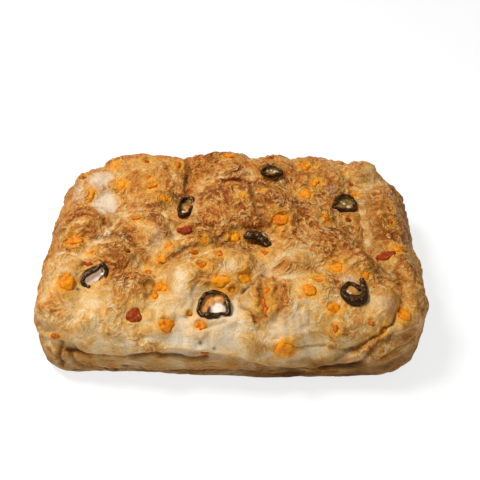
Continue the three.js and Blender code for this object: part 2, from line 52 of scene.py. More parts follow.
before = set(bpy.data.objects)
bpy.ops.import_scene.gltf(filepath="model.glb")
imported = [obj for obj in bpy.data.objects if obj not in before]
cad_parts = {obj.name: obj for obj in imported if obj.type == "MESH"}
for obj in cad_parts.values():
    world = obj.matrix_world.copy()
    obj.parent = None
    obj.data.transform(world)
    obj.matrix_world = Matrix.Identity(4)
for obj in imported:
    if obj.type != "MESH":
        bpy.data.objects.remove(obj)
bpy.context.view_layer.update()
MM = 0.001

# The skin of the loaf is smoothed in rounds: all over, then more on the flanks, and a copy of it to tell the
# crests from the hollows. The flanks lie outside the first three bounds, in millimetres, and below the
# fourth one, or past the right shoulder or the corner of x and y at the back right, at any height
SKIN_ROUNDS, FLANK_ROUNDS, CREST_ROUNDS = 3, 110, 90
FLANK_LEFT, FLANK_RIGHT, FLANK_BACK, FLANK_TOP = -115, 111, 77, 42
RIGHT_SHOULDER, BACK_RIGHT = 109, (101, 12)

# Heights between which one kind of surface turns into another, and how deep the toppings press the crust
# in, in millimetres
BASE_FADE, FOOT_FADE, FOOT_MARKS, WALL_FADE, SHOULDER_FADE = (0, 7), (5, 17), (10, 22), (14, 34), (12, 52)
SINK = 0.8

# Patterns of the crust. The dough is drawn out in streaks that run one way in one part and another way in
# the next: their turns in degrees, and length and width in millimetres. Then the sizes of the finest
# patterns, which the material makes, in metres
TURNS = (20, 80, 140)
DOUGH_STREAK = (9, 2.8)
FINE_STREAK, LAYER = (0.0050, 0.0015), (0.008, 0.008, 0.0013)
CRINKLE, CURL, BEAD, SPECK, MOTTLE = 0.0047, 0.014, 0.0017, 0.0011, 0.008

# Tones of the crust and of the cheddar, and how far it is browned where each one is reached
CRUST_TONES = [
    (0.02, "flour"), (0.22, "cream"), (0.40, "gold"), (0.60, "amber"), (0.88, "brown"), (1.0, "char"),
]
CHEDDAR_TONES = [(0.0, "yellow"), (0.45, "orange"), (0.85, "russet")]

# Cheddar: the size of its mesh in metres; the sums of a lump's half sizes in millimetres past which it has
# two lobes or four; the turn from a lobe to the next; and the lobes' least and most size and reach
LUMP_MESH = 0.0005
TWO_LOBES, FOUR_LOBES, LOBE_TURN = 5.2, 7, 2.4
LOBE_SHARE, LOBE_REACH = (0.55, 0.75), (0.35, 0.55)

# What fills a slice of jalapeno, as it is laid on
FILLINGS = ("flesh", "glaze", "pith")

# Lights: place, side of the square, and the point that all of them face, in metres
LIGHTS = {
    "key": ((-0.40, 0.10, 0.82), 0.24),
    "side": ((-1.0, 0.05, 0.45), 0.7),
    "front": ((0.1, -1.0, 0.45), 0.7),
}
LIT_POINT = (0, 0, 0.03)

# Camera: lens and sensor in millimetres, the point it looks at and the way to it in metres, and its
# downward angle
LENS, SENSOR, NEAREST = 51, 36, 0.01
AIM, AWAY, TILT = Vector((0.0052, 0.0135, 0.026)), 0.462, math.radians(44)

# Large odd numbers that scatter the values at the corners of a grid of noise
SCATTER, SCATTER_AGAIN = (73856093, 19349663, 83492791, 2654435), 1274126177

# Folds of the dough, in millimetres: depth and half width of the groove, how dark it is inside, partly baked
# brown and partly painted shade, or below zero how pale it has stayed, and the points along it
FOLDS = [
    (1.6, 1.0, 0.8, [(-96, -76, 24), (-85, -78, 24), (-77, -79, 22), (-59, -81, 23), (-47, -81, 26),
        (-35, -81, 25), (-24, -82, 23), (-14, -82, 24)]),
    (1.6, 1.2, 0.5, [(-95, -77, 23), (-92, -80, 17), (-87, -80, 12)]),
    (1.6, 1.2, 0.6, [(-108, -75, 21), (-103, -79, 19), (-99, -79, 16)]),
    (1.6, 1.2, 0.85, [(-99, -75, 29), (-100, -77, 24), (-100, -79, 20), (-101, -79, 12)]),
    (1.7, 1.3, 0.5, [(-32, 66, 52), (-31, 55, 49), (-32, 43, 48), (-29, 30, 51)]),
    (1.4, 1.3, 0.5, [(-42, -32, 50), (-35, -28, 53), (-28, -25, 57), (-16, -22, 56), (-6, -16, 52),
        (5, -11, 50)]),
    (1.4, 1.4, 0.35, [(-26, -7, 53), (-17, -18, 58), (-10, -15, 54), (-1, -7, 53), (5, -3, 53),
        (14, -4, 52), (23, -2, 51), (31, 7, 49), (37, 5, 57), (45, 24, 51)]),
    (1.5, 1.2, 0.7, [(10, 43, 52), (13, 18, 61), (15, 10, 60), (18, 4, 57)]),
    (1.3, 0.8, 0.6, [(19, -43, 51), (14, -47, 50), (8, -52, 48), (5, -57, 46), (5, -63, 47), (9, -67, 49),
        (13, -71, 48), (14, -73, 45)]),
    (1.2, 0.8, 0.55, [(19, -43, 51), (26, -45, 51), (30, -50, 53), (32, -56, 53)]),
    (0.8, 1.2, 0.25, [(32, -56, 53), (30, -63, 52), (27, -69, 48), (26, -73, 45)]),
    (1.6, 1.1, 0.6, [(17, -46, 52), (17, -52, 52), (18, -58, 51), (19, -66, 50), (20, -71, 48)]),
    (1.2, 1.8, -0.9, [(88, 26, 47), (88, 7, 48), (87, -8, 46)]),
    (1.3, 1.2, 0.35, [(87, -12, 46), (88, -20, 46), (89, -30, 46), (93, -41, 46), (100, -50, 47)]),
    (1.3, 1.1, 0.6, [(97, -40, 52), (99, -45, 51), (100, -52, 47), (99, -61, 44), (96, -67, 40),
        (89, -74, 41), (84, -77, 38), (77, -80, 34), (72, -81, 30), (66, -80, 28)]),
    # Painted shadow in the hollow under the front right lobe
    (2.2, 3.4, 1.0, [(53, -83, 14), (60, -83, 15), (68, -83, 16), (75, -84, 20)]),
    (1.2, 1.3, 0.6, [(76, -84, 23), (80, -82, 31), (84, -80, 35), (92, -75, 38)]),
    # Painted shadow under the front right corner, where there is no groove
    (0.0, 4.2, 0.6, [(75, -83, 12), (88, -82, 15), (99, -79, 18)]),
    (1.5, 3.0, 0.0, [(-5, 75, 56), (-2, 75, 57), (2, 75, 56)]),
    (0.7, 0.8, 0.45, [(34, -82, 34), (46, -81, 33), (55, -81, 34), (59, -82, 33), (66, -80, 28)]),
    (1.4, 1.2, 0.7, [(-87, -80, 12), (-73, -79, 7), (-55, -80, 9), (-34, -82, 9), (-10, -83, 12),
        (14, -84, 11), (35, -82, 7), (53, -82, 9)]),
    (1.0, 1.3, 0.4, [(-107, -11, 50), (-105, -3, 54), (-98, 3, 56), (-88, 4, 56), (-80, 1, 53)]),
    (0.9, 1.2, 0.35, [(-103, -11, 48), (-99, -7, 54), (-92, -4, 56), (-85, -4, 53)]),
    (0.9, 1.2, -0.8, [(-113, -20, 44), (-104, -26, 52), (-96, -28, 53), (-88, -33, 53)]),
    (0.8, 1.3, -0.8, [(-87, 11, 56), (-79, 7, 52), (-77, 2, 51), (-81, -7, 50), (-88, -14, 49)]),
    (0.8, 1.2, 0.4, [(-71, -44, 51), (-64, -41, 52), (-56, -45, 55), (-51, -52, 53), (-48, -59, 51)]),
    (0.9, 1.3, 0.4, [(-76, -5, 51), (-70, 0, 55), (-60, 1, 59), (-50, 0, 58), (-42, -8, 57)]),
    (1.0, 1.2, 0.4, [(-83, -10, 49), (-75, -8, 51), (-64, -13, 54), (-57, -22, 51)]),
    (0.9, 1.2, 0.35, [(86, -39, 49), (92, -37, 48), (97, -44, 50), (99, -50, 47)]),
    (0.9, 1.2, 0.4, [(-18, -73, 44), (-12, -75, 44), (-3, -73, 46)]),
    (0.6, 1.2, -0.9, [(-25, 0, 56), (-24, 18, 56), (-22, 34, 52), (-18, 47, 50), (-11, 49, 53), (2, 50, 54),
        (13, 49, 53)]),
    (1.1, 0.9, 0.6, [(-22, 22, 56), (-17, 40, 51), (-10, 45, 51), (2, 46, 52), (12, 45, 52)]),
    (1.0, 1.2, 0.35, [(25, 0, 52), (33, 6, 56), (41, 10, 59), (52, 22, 52)]),
    (0.9, 1.2, -0.9, [(-77, -2, 51), (-74, 7, 51), (-70, 14, 49), (-62, 17, 51), (-53, 14, 53),
        (-45, 10, 52), (-41, -2, 57), (-36, -10, 51)]),
    (0.8, 1.2, -0.9, [(-84, -14, 49), (-79, -11, 50), (-73, -12, 52), (-66, -19, 54), (-59, -28, 54),
        (-55, -33, 51)]),
    (1.6, 1.5, 0.6, [(88, -84, 25), (98, -79, 29), (109, -70, 27)]),
    (0.3, 3.4, 0.35, [(35, -85, 24), (50, -84, 22), (64, -84, 23)]),
    (0.7, 1.1, -0.3, [(31, -67, 50), (33, -74, 45), (32, -81, 38)]),
    (0.7, 1.1, -0.3, [(40, -66, 50), (41, -74, 45), (43, -81, 38)]),
    (0.8, 1.0, -0.3, [(67, -69, 48), (74, -76, 42)]),
    (0.8, 1.0, -0.3, [(75, -67, 48), (82, -74, 41)]),
    (0.9, 1.2, -0.7, [(-107, -60, 49), (-102, -36, 55), (-92, -28, 52), (-82, -21, 54), (-78, -6, 51)]),
    (0.9, 1.2, 0.35, [(98, 17, 55), (100, 0, 55), (102, -14, 53)]),
    (0.7, 1.1, 0.4, [(53, -14, 56), (59, -9, 57), (67, -8, 55), (71, -16, 56)]),
]

# Bare, whitish dough where the skin has stayed smooth: x, y and half its width and length, in
# millimetres, and how bare
BARE_PLACES = [
    (-86, 27, 10, 9, 1.0), (-83, 19, 7, 10, 1.0), (-90, 45, 8, 10, 0.8), (70, -48, 6, 4, 0.4),
    (-46, -15, 3.5, 8.5, 0.3), (86, -65, 8, 6, 0.3), (67, 34, 4, 3.5, 0.3), (-100, -42, 5, 4, 0.3),
    (20, -40, 7, 4, 0.25), (-2, -42, 7, 5, 0.3), (-10, -74, 16, 8, 0.35), (34, -74, 16, 6, 0.3),
    (-104, 36, 6, 8, 0.35),
]

# Where the crust is smoother than round about: x, y and radius in millimetres, and how much
CALM_PLACES = [
    (21, -60, 12, 0.9), (-62, 52, 26, 0.55), (96, -62, 12, 0.7), (-92, -62, 20, 0.5), (62, 66, 22, 0.35),
    (-90, 10, 12, 0.4), (-20, -72, 22, 0.4), (100, 60, 12, 0.5),
]

# Charred crumbs on the crust: place and radius in millimetres
CRUMBS = [
    (-17, -82, 36, 1.3), (-10, -84, 34, 1.2), (-69, -77, 39, 0.9), (-90, -51, 48, 1.1), (-60, -52, 54, 0.8),
]


# Settings


def tone(name, description, default):
    return bpy.props.FloatVectorProperty(
        name=name, description=description, subtype="COLOR", min=0, max=1, default=default
    )


def size(name, description, default):
    return bpy.props.FloatProperty(
        name=name, description=description, unit="LENGTH", min=0, precision=5, default=default
    )


def power(name, description, default):
    return bpy.props.FloatProperty(name=name, description=description, unit="POWER", min=0, default=default)


class CrustSettings(bpy.types.PropertyGroup):
    mesh_size: size("Mesh size", "Length of an edge of the crust's mesh", 0.0011)
    wrinkle: size("Wrinkle", "Height of the wrinkles of the crust", 0.0006)
    blister: size("Blister", "Height of the blisters of the crust", 0.0005)
    flour: tone("Flour", "Pale, floury dough", (0.73, 0.605, 0.44))
    cream: tone("Cream", "Dough that has hardly coloured", (0.70, 0.49, 0.255))
    gold: tone("Gold", "Lightly baked crust", (0.64, 0.360, 0.104))
    amber: tone("Amber", "Well baked crust", (0.55, 0.228, 0.040))
    brown: tone("Brown", "Dark crust", (0.39, 0.108, 0.012))
    char: tone("Char", "The darkest crust", (0.235, 0.050, 0.005))
    # Colour of the dark folds, crumbs and marks low on the wall: browned and charred dough, and painted shade
    # in the folds and by the floor
    crease_brown_and_shade: tone("Crease", "Dough browned inside a fold", (0.082, 0.022, 0.003))
    # The wall colour is partly the wall's own tone and partly painted shade, and is mixed over the flanks as
    # painted shade
    wall: tone("Wall", "Dry crust low on the wall", (0.34, 0.145, 0.022))
    stain: tone("Stain", "Colour of the dough round the cheese", (0.72, 0.37, 0.055))
    fat: tone("Fat", "Crust soaked with fat from the cheese", (0.76, 0.285, 0.020))
    bare: tone("Bare", "Whitish dough that has stayed smooth", (0.65, 0.525, 0.375))


class CheddarSettings(bpy.types.PropertyGroup):
    yellow: tone("Yellow", "Melted cheddar", (0.80, 0.295, 0.004))
    orange: tone("Orange", "Cheddar that has begun to brown", (0.63, 0.150, 0.002))
    russet: tone("Russet", "Browned cheddar", (0.26, 0.020, 0.002))
    roughen: size("Roughen", "Height of the bumps of melted cheddar", 0.00035)


class JalapenoSettings(bpy.types.PropertyGroup):
    mesh_size: size("Mesh size", "Length of an edge of a slice's mesh", 0.0005)
    thickness: size("Thickness", "Thickness of a slice", 0.003)
    skin: tone("Skin", "Skin of the pepper, baked almost black", (0.012, 0.0045, 0.001))
    # The rounded top of the skin is painted lighter: a painted sheen where the light falls
    crown: tone("Crown", "Rounded top of the skin, where it has stayed lighter", (0.17, 0.060, 0.009))
    flesh: tone("Flesh", "Cut flesh of the pepper", (0.20, 0.12, 0.024))
    pith: tone("Pith", "Pith in the middle of a slice", (0.86, 0.72, 0.60))
    glaze: tone("Glaze", "Browned juice inside a slice", (0.52, 0.21, 0.04))


class StageSettings(bpy.types.PropertyGroup):
    floor_size: size("Floor size", "Side of the floor", 40.0)
    key_power: power("Key power", "Power of the main light", 8.5)
    side_power: power("Side power", "Power of the light at the left", 0.8)
    front_power: power("Front power", "Power of the light in front", 1.2)
    sky: bpy.props.FloatProperty(
        name="Sky", description="Strength of the even light all round", min=0, default=0.34
    )


# Tools shared by the operators


def activate(*pieces):
    """Selects these pieces alone, the first one active."""
    bpy.ops.object.select_all(action="DESELECT")
    for piece in pieces:
        piece.select_set(True)
    bpy.context.view_layer.objects.active = pieces[0]


def finish_with(piece, kind, **settings):
    """Adds a modifier and applies it."""
    modifier = piece.modifiers.new(kind.title(), kind)
    for name, value in settings.items():
        setattr(modifier, name, value)
    activate(piece)
    bpy.ops.object.modifier_apply(modifier=modifier.name)


def smooth(piece, rounds, **settings):
    finish_with(piece, "SMOOTH", factor=0.5, iterations=rounds, **settings)


def remesh(piece, mesh_size, rounds):
    """Makes all the shells of a piece one even mesh, and smooths it."""
    finish_with(piece, "REMESH", mode="VOXEL", voxel_size=mesh_size)
    smooth(piece, rounds)


def dress(piece, material):
    """Gives a piece its only material and smooth shading."""
    piece.data.materials.clear()
    piece.data.materials.append(material)
    activate(piece)
    bpy.ops.object.shade_smooth()


def copy_of(node):
    """A closed copy of a solid's mesh, with its loose triangles merged."""
    piece = bpy.data.objects.new("copy_of_" + node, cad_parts[node].data.copy())
    bpy.context.scene.collection.objects.link(piece)
    piece.data.materials.clear()
    activate(piece)
    bpy.ops.object.mode_set(mode="EDIT")
    bpy.ops.mesh.select_all(action="SELECT")
    bpy.ops.mesh.remove_doubles(threshold=1e-5)
    bpy.ops.object.mode_set(mode="OBJECT")
    bpy.ops.mesh.customdata_custom_splitnormals_clear()
    return piece


def join(pieces, name):
    activate(*pieces)
    if len(pieces) > 1:
        bpy.ops.object.join()
    pieces[0].name = pieces[0].data.name = name
    return pieces[0]


def per_vertex(piece, name):
    """A vector of each vertex of a piece, one to a row."""
    values = np.empty(len(piece.data.vertices) * 3)
    piece.data.vertices.foreach_get(name, values)
    return values.reshape(-1, 3)


def places_of(piece):
    return per_vertex(piece, "co")


def normals_of(piece):
    return per_vertex(piece, "normal")


def move_to(piece, places):
    piece.data.vertices.foreach_set("co", np.ascontiguousarray(places).ravel())
    piece.data.update()


def paint(piece, name, values):
    """Keeps a value from 0 to 1 at each vertex, for the material to read."""
    attribute = piece.data.attributes.new(name, "FLOAT", "POINT")
    attribute.data.foreach_set("value", np.clip(values, 0, 1).astype(np.float32))


def step(low, high, value):
    """Rises from 0 to 1 between two values, with soft ends."""
    t = np.clip((value - low) / (high - low), 0, 1)
    return t * t * (3 - 2 * t)


def lattice(i, j, k, seed):
    """A scattered value from -1 to 1 for each corner of a grid, the same each time."""
    mixed = (i * SCATTER[0]) ^ (j * SCATTER[1]) ^ (k * SCATTER[2]) ^ (seed * SCATTER[3])
    mixed = (mixed ^ (mixed >> 13)) * SCATTER_AGAIN
    return ((mixed ^ (mixed >> 16)) & 0xFFFF) / 32767.5 - 1


def noise(places, grain, seed):
    """Smooth noise from -1 to 1 at each place, with bumps about the given size."""
    cell = places / grain + 100
    base = np.floor(cell).astype(np.int64)
    ease = cell - base
    ease = ease**3 * (ease * (6 * ease - 15) + 10)
    total = np.zeros(len(places))
    for corner in np.ndindex(2, 2, 2):
        weight = 1.0
        for axis, far in enumerate(corner):
            weight = weight * (ease[:, axis] if far else 1 - ease[:, axis])
        total += weight * lattice(*(base + corner).T, seed)
    return total


def streaks(places, turn, seed):
    """Noise drawn out in streaks, level and turned by an angle in degrees."""
    turn = math.radians(turn)
    long, wide = DOUGH_STREAK
    first = places[:, 0] * math.cos(turn) + places[:, 1] * math.sin(turn)
    second = places[:, 1] * math.cos(turn) - places[:, 0] * math.sin(turn)
    return noise(np.stack([first / long, second / wide, places[:, 2] / wide], axis=1), 1.0, seed)


def drawn_dough(places, seed):
    """Streaks that run one way in one part of the crust and another way in the next, from -1 to 1."""
    bent = warped(places, 6.0, 16, seed)
    total = streaks(bent, TURNS[0], seed + 1)
    for k, turn in enumerate(TURNS[1:]):
        share = step(-0.15, 0.15, noise(places, 24, seed + 5 + k))
        total += share * (streaks(bent, turn, seed + 2 + k) - total)
    return total


def warped(places, reach, grain, seed):
    """Places that wander, so that outlines laid over them aren't smooth."""
    shift = np.stack([noise(places, grain, seed + axis) for axis in range(3)], axis=1)
    return places + reach * shift


def laid_on(tree, line):
    """A line drawn out in short steps over the surface in a tree, in millimetres."""
    points = []
    for start, end in zip(line, line[1:]):
        start, end = Vector(start), Vector(end)
        count = max(1, round((end - start).length / 2))
        points += [start.lerp(end, k / count) for k in range(count)]
    points.append(Vector(line[-1]))
    return [tuple(tree.find_nearest(point * MM)[0] / MM) for point in points]


def distance_to_line(places, line):
    """How far each place is from the nearest point of a line."""
    nearest = np.full(len(places), np.inf)
    for start, end in zip(line, line[1:]):
        start, end = np.array(start, float), np.array(end, float)
        along = end - start
        share = np.clip((places - start) @ along / (along @ along), 0, 1)
        away = np.linalg.norm(places - start - share[:, None] * along, axis=1)
        nearest = np.minimum(nearest, away)
    return nearest


class Shader:
    """A material's node tree, with short calls to add nodes and join them."""

    def __init__(self, name):
        self.material = bpy.data.materials.new(name)
        self.material.use_nodes = True
        self.tree = self.material.node_tree
        self.surface = self.tree.nodes["Principled BSDF"]
        self.place = self.add("ShaderNodeTexCoord").outputs["Object"]

    def add(self, kind, inputs=None, **settings):
        node = self.tree.nodes.new(kind)
        for name, value in settings.items():
            setattr(node, name, value)
        for name, value in (inputs or {}).items():
            self.set(node.inputs[name], value)
        return node

    def set(self, socket, value):
        if isinstance(value, bpy.types.NodeSocket):
            self.tree.links.new(value, socket)
        elif socket.type == "RGBA":
            socket.default_value = (*value, 1)
        else:
            socket.default_value = value

    def attribute(self, name):
        return self.add("ShaderNodeAttribute", attribute_name=name).outputs["Fac"]

    def math(self, operation, first, second=0.0, third=0.0, clamp=False):
        inputs = {0: first, 1: second, 2: third}
        return self.add("ShaderNodeMath", inputs, operation=operation, use_clamp=clamp).outputs[0]

    def scaled(self, value, factor, plus=0.0, clamp=False):
        """A value times a factor, plus another."""
        return self.math("MULTIPLY_ADD", value, factor, plus, clamp)

    def times(self, first, second, clamp=False):
        return self.math("MULTIPLY", first, second, clamp=clamp)

    def noise(self, grain, detail=3.0, roughness=0.55, distortion=0.0, place=None):
        """Noise from 0 to 1 with bumps about the given size in metres."""
        inputs = {"Vector": place or self.place, "Scale": 1 / grain, "Detail": detail}
        inputs |= {"Roughness": roughness, "Distortion": distortion}
        return self.add("ShaderNodeTexNoise", inputs).outputs["Fac"]

    def patches(self, grain, detail, contrast, offset):
        """Patches of 1 on 0 with soft edges."""
        return self.scaled(self.noise(grain, detail), contrast, offset, clamp=True)

    def flow(self, grain, reach):
        """Object coordinates that wander, so that patterns run in curved streaks."""
        inputs = {"Vector": self.place, "Scale": 1 / grain, "Detail": 1.0}
        wander = self.add("ShaderNodeTexNoise", inputs).outputs["Color"]
        scaled = self.add("ShaderNodeVectorMath", {0: wander}, operation="SCALE")
        scaled.inputs["Scale"].default_value = 2 * reach
        moved = self.add("ShaderNodeVectorMath", {0: self.place, 1: scaled.outputs[0]}, operation="ADD")
        return moved.outputs[0]

    def streaks(self, place, turn):
        """Noise drawn out in streaks, level and turned by an angle in degrees."""
        long, wide = FINE_STREAK
        inputs = {"Vector": place, "Rotation": (0, 0, math.radians(turn)), "Scale": (long, wide, wide)}
        turned = self.add("ShaderNodeMapping", inputs, vector_type="TEXTURE")
        return self.noise(1.0, 3, 0.6, 0.4, turned.outputs[0])

    def blend(self, share, first, second):
        """From the first to the second value as the share goes from 0 to 1."""
        return self.scaled(share, self.math("SUBTRACT", second, first), first)

    def mix(self, share, first, second):
        """The same for colours."""
        node = self.add("ShaderNodeMix", data_type="RGBA")
        sockets = {socket.identifier: socket for socket in node.inputs}
        for name, value in (("Factor_Float", share), ("A_Color", first), ("B_Color", second)):
            self.set(sockets[name], value)
        return next(socket for socket in node.outputs if socket.identifier == "Result_Color")

    def ramp(self, value, tones, settings):
        """The colours of the settings that a list of tones names, one after the other."""
        node = self.add("ShaderNodeValToRGB", {"Fac": value})
        elements = node.color_ramp.elements
        while len(elements) < len(tones):
            elements.new(0.5)
        for element, (position, name) in zip(elements, tones):
            element.position = position
            element.color = (*getattr(settings, name), 1)
        return node.outputs["Color"]

    def bump(self, height, distance, strength):
        inputs = {"Height": height, "Distance": distance, "Strength": strength}
        return self.add("ShaderNodeBump", inputs).outputs["Normal"]

    def finish(self, **sockets):
        """Sets the sockets of the surface, named with underscores."""
        for name, value in sockets.items():
            self.set(self.surface.inputs[name.replace("_", " ")], value)
        return self.material


# Toppings


def bit(x, other, wide, long, tone, number=None, on_wall=False):
    """A piece of cheddar, in millimetres: other is its y, or its z if it is on the front wall. The tone goes
    from 0 melted yellow over 0.5 orange to 1 dark russet. A larger lump has the number of its solid.
    """
    return {
        "x": x, "y": None if on_wall else other, "z": other if on_wall else None, "wide": wide, "long": long,
        "tone": tone, "node": number and f"cheddar_{number:02d}",
    }


CHEDDAR = [bit(*row) for row in (
    (-81.4, 59.9, 6.0, 7.0, 0.3), (-59.9, 62.2, 4.2, 5.0, 0.6), (-37.9, 61.4, 6.3, 6.8, 0.4),
    (-2.8, 64.0, 9.8, 7.3, 0.4, 12), (-101.8, 46.8, 4.1, 6.4, 0.8), (-57.4, 43.5, 5.6, 3.9, 0.45),
    (-75.7, 39.5, 7.5, 8.1, 0.1, 1), (-54.4, 36.5, 8.1, 5.8, 0.3, 2), (-94.0, 29.8, 6.0, 7.4, 0.05),
    (-44.4, 21.8, 6.2, 6.5, 0.2), (-60.5, -0.5, 6.5, 4.4, 0.45), (-29.4, -6.1, 10.1, 6.4, 1.0),
    (-99.2, -12.8, 12.6, 6.2, 0.25, 3), (-85.3, -25.8, 4.6, 6.2, 0.35), (-38.7, -20.0, 5.7, 7.6, 0.35),
    (-17.1, -18.7, 7.4, 5.1, 0.15), (-22.7, -26.8, 5.0, 4.4, 0.45), (1.6, -10.2, 7.2, 7.9, 0.05, 4),
    (-7.4, -31.3, 6.0, 6.0, 0.4), (-42.6, -29.9, 6.1, 5.8, 0.15), (-62.8, -26.6, 4.2, 7.0, 0.95),
    (50.6, 58.0, 8.6, 8.4, 0.25, 13), (57.4, 56.4, 5.6, 5.0, 0.5), (56.0, 38.3, 6.0, 7.9, 0.2, 14),
    (49.4, 31.6, 7.6, 8.4, 0.2, 15), (81.3, 44.5, 5.5, 5.4, 0.65), (82.5, 36.1, 5.6, 3.8, 0.1),
    (75.8, 8.5, 5.6, 4.6, 1.0), (61.3, 4.0, 5.4, 6.0, 0.4), (31.5, 2.8, 12.9, 9.7, 0.35, 16),
    (100.8, -0.3, 5.3, 6.0, 0.4), (100.4, -23.5, 6.4, 6.2, 0.15), (106.3, -22.6, 5.5, 6.0, 0.55),
    (94.0, -27.6, 12.3, 8.4, 0.88, 18), (20.8, -24.0, 6.2, 7.0, 0.5, 17), (17.9, 26.8, 4.4, 4.0, 0.15),
    (7.1, 18.6, 4.2, 4.6, 0.15), (-96.4, -49.6, 9.0, 12.4, 0.2, 6),
    (-101.5, 33.0, 5.4, 7.0, 0.5, None, True), (-41.6, -51.6, 9.4, 7.8, 0.25, 7),
    (-43.9, -56.9, 5.2, 7.2, 0.3), (-54.8, -69.4, 8.8, 9.6, 0.85, 9), (-36.9, -73.8, 8.4, 8.4, 0.3, 10),
    (-23.9, -67.1, 4.8, 3.6, 0.35), (-17.3, -74.4, 7.2, 7.6, 0.15, 11), (-17.2, -39.4, 6.4, 7.0, 0.4, 5),
    (-5.4, -49.9, 11.2, 6.6, 0.05, 8), (-50.2, -37.5, 4.8, 4.2, 0.45),
    (-15.1, 26.0, 6.0, 3.0, 0.5, None, True), (7.5, -45.9, 8.6, 7.4, 0.15, 25), (0.2, -52.3, 5.3, 4.7, 0.1),
    (20.8, -56.9, 4.8, 5.4, 0.45), (19.6, -65.0, 5.6, 14.5, 0.6), (63.7, -36.0, 9.4, 7.1, 0.1, 19),
    (50.8, -48.4, 7.4, 6.5, 0.35, 20), (79.9, -42.2, 6.8, 6.2, 0.1), (45.2, -58.0, 8.6, 8.0, 0.25, 21),
    (58.7, -67.5, 7.9, 6.6, 0.2, 22), (59.4, -77.0, 5.3, 5.8, 0.45),
    (31.0, 33.2, 10.8, 11.4, 0.1, 23, True), (79.4, -74.6, 4.4, 6.1, 0.55), (86.7, -75.4, 5.0, 5.8, 0.3),
    (99.1, -67.4, 7.6, 8.0, 0.3, 24), (-87.5, -34.5, 7.4, 6.4, 0.85), (-70.0, -24.0, 6.5, 2.6, 0.9),
    (102.5, 13.0, 3.4, 10.0, 0.75),
)]

# Bits on the side walls and the back, drawn by a seeded rule: how many, over which angles round the loaf in
# degrees, from how far out in metres, and their least and most height and width in millimetres
WALL_BITS = {"count": 12, "first": -25, "sweep": 230, "out": 0.243, "height": (14, 38), "width": (4.5, 7.5)}
WALL_SEED = 7

# Places on the top where the crust is darker (+) or paler (-) than its height says: x, y and radius in
# millimetres, and by how much
BAKED_PLACES = [
    (5, 12, 38, 0.11), (-25, 20, 22, 0.06), (-50, 45, 26, 0.07), (-77, -4, 9, 0.12), (-70, -22, 13, 0.28),
    (-62, -46, 14, 0.16), (61, -20, 13, 0.2), (48, 8, 16, 0.14), (97, 4, 14, 0.2), (77, -28, 11, 0.14),
    (-20, 60, 14, 0.14), (-18, -48, 10, 0.2), (100, -42, 12, 0.14), (47, 60, 14, 0.12),
    (-90, 44, 14, -0.06), (-8, -38, 14, -0.12), (-22, -74, 20, -0.22), (88, -56, 11, 0.22),
    (38, -72, 18, -0.16), (0, -78, 22, -0.14), (84, -66, 8, -0.1), (59, -50, 9, 0.24), (23, -60, 11, 0.56),
    (-70, -25, 8, 0.12), (-78, -62, 22, -0.02), (-52, -16, 9, -0.2), (-68, -30, 9, -0.12),
    (-95, -36, 12, -0.14), (4, -60, 9, -0.16), (-30, -44, 12, -0.12), (45, -16, 12, -0.04),
    (24, -30, 14, -0.06), (91, 46, 14, -0.2), (-104, 18, 10, 0.1), (2, 60, 16, 0.12), (55, 42, 14, 0.1),
    (-62, 6, 12, -0.05), (96, 12, 14, 0.05), (44, -27, 9, -0.12), (-103, 34, 9, 0.1), (106, -4, 10, 0.1),
]

# The same on the front wall: x, z, radius and by how much. The first one is painted shade under the front
# right lobe
WALL_PLACES = [(77, 25, 20, 0.14), (14, 18, 26, 0.08), (-45, 10, 30, 0.05)]


def solid_tree(piece):
    """A tree that answers where a ray meets a piece, in metres."""
    faces = [tuple(face.vertices) for face in piece.data.polygons]
    return BVHTree.FromPolygons([vertex.co for vertex in piece.data.vertices], faces)


def on_crust(tree, x, y, z):
    """The point of the crust over x and y, or in front of x and z if there is no y, and its mean normal."""
    found = []
    for step_x, step_other in ((0, 0), (3, 0), (-3, 0), (0, 3), (0, -3)):
        if y is None:
            start, along = Vector((x + step_x, -200, z + step_other)), Vector((0, 1, 0))
        else:
            start, along = Vector((x + step_x, y + step_other, 200)), Vector((0, 0, -1))
        found.append(tree.ray_cast(start * MM, along)[:2])
    if found[0][0] is None:
        raise RuntimeError(f"no crust at x {x}, y {y}, z {z}")
    return found[0][0], sum((normal for _, normal in found if normal), Vector()).normalized()


def cheddar_places(tree):
    """Each piece of cheddar on a crust, with its place and outward normal, those of the walls included."""
    pieces = []
    for piece in CHEDDAR:
        place, normal = on_crust(tree, piece["x"], piece["y"], piece["z"])
        pieces.append(piece | {"place": place, "normal": normal})

    def drawn(i, k, low=0.0, high=1.0):
        value = math.sin(i * 127.1 + k * 311.7 + WALL_SEED * 74.7) * 43758.5453
        return low + (high - low) * (value - math.floor(value))

    for i in range(WALL_BITS["count"]):
        angle = WALL_BITS["first"] + WALL_BITS["sweep"] * (i + 0.7 * drawn(i, 1)) / WALL_BITS["count"]
        angle = math.radians(angle)
        height, width = drawn(i, 2, *WALL_BITS["height"]), drawn(i, 3, *WALL_BITS["width"])
        out = Vector((math.cos(angle), math.sin(angle), 0))
        place, normal, *_ = tree.ray_cast(WALL_BITS["out"] * out + Vector((0, 0, height * MM)), -out)
        pieces.append({
            "place": place - 0.1 * width * MM * normal, "normal": normal, "wide": width, "long": 0.85 * width,
            "tone": 0.3 + 0.4 * drawn(i, 4), "node": None,
        })
    return pieces


def topping_spots(tree):
    """Middle and radius of each piece of cheddar, in metres, and its tone."""
    pieces = cheddar_places(tree)
    return [(piece["place"], 0.25 * (piece["wide"] + piece["long"]) * MM, piece["tone"]) for piece in pieces]


# Crust


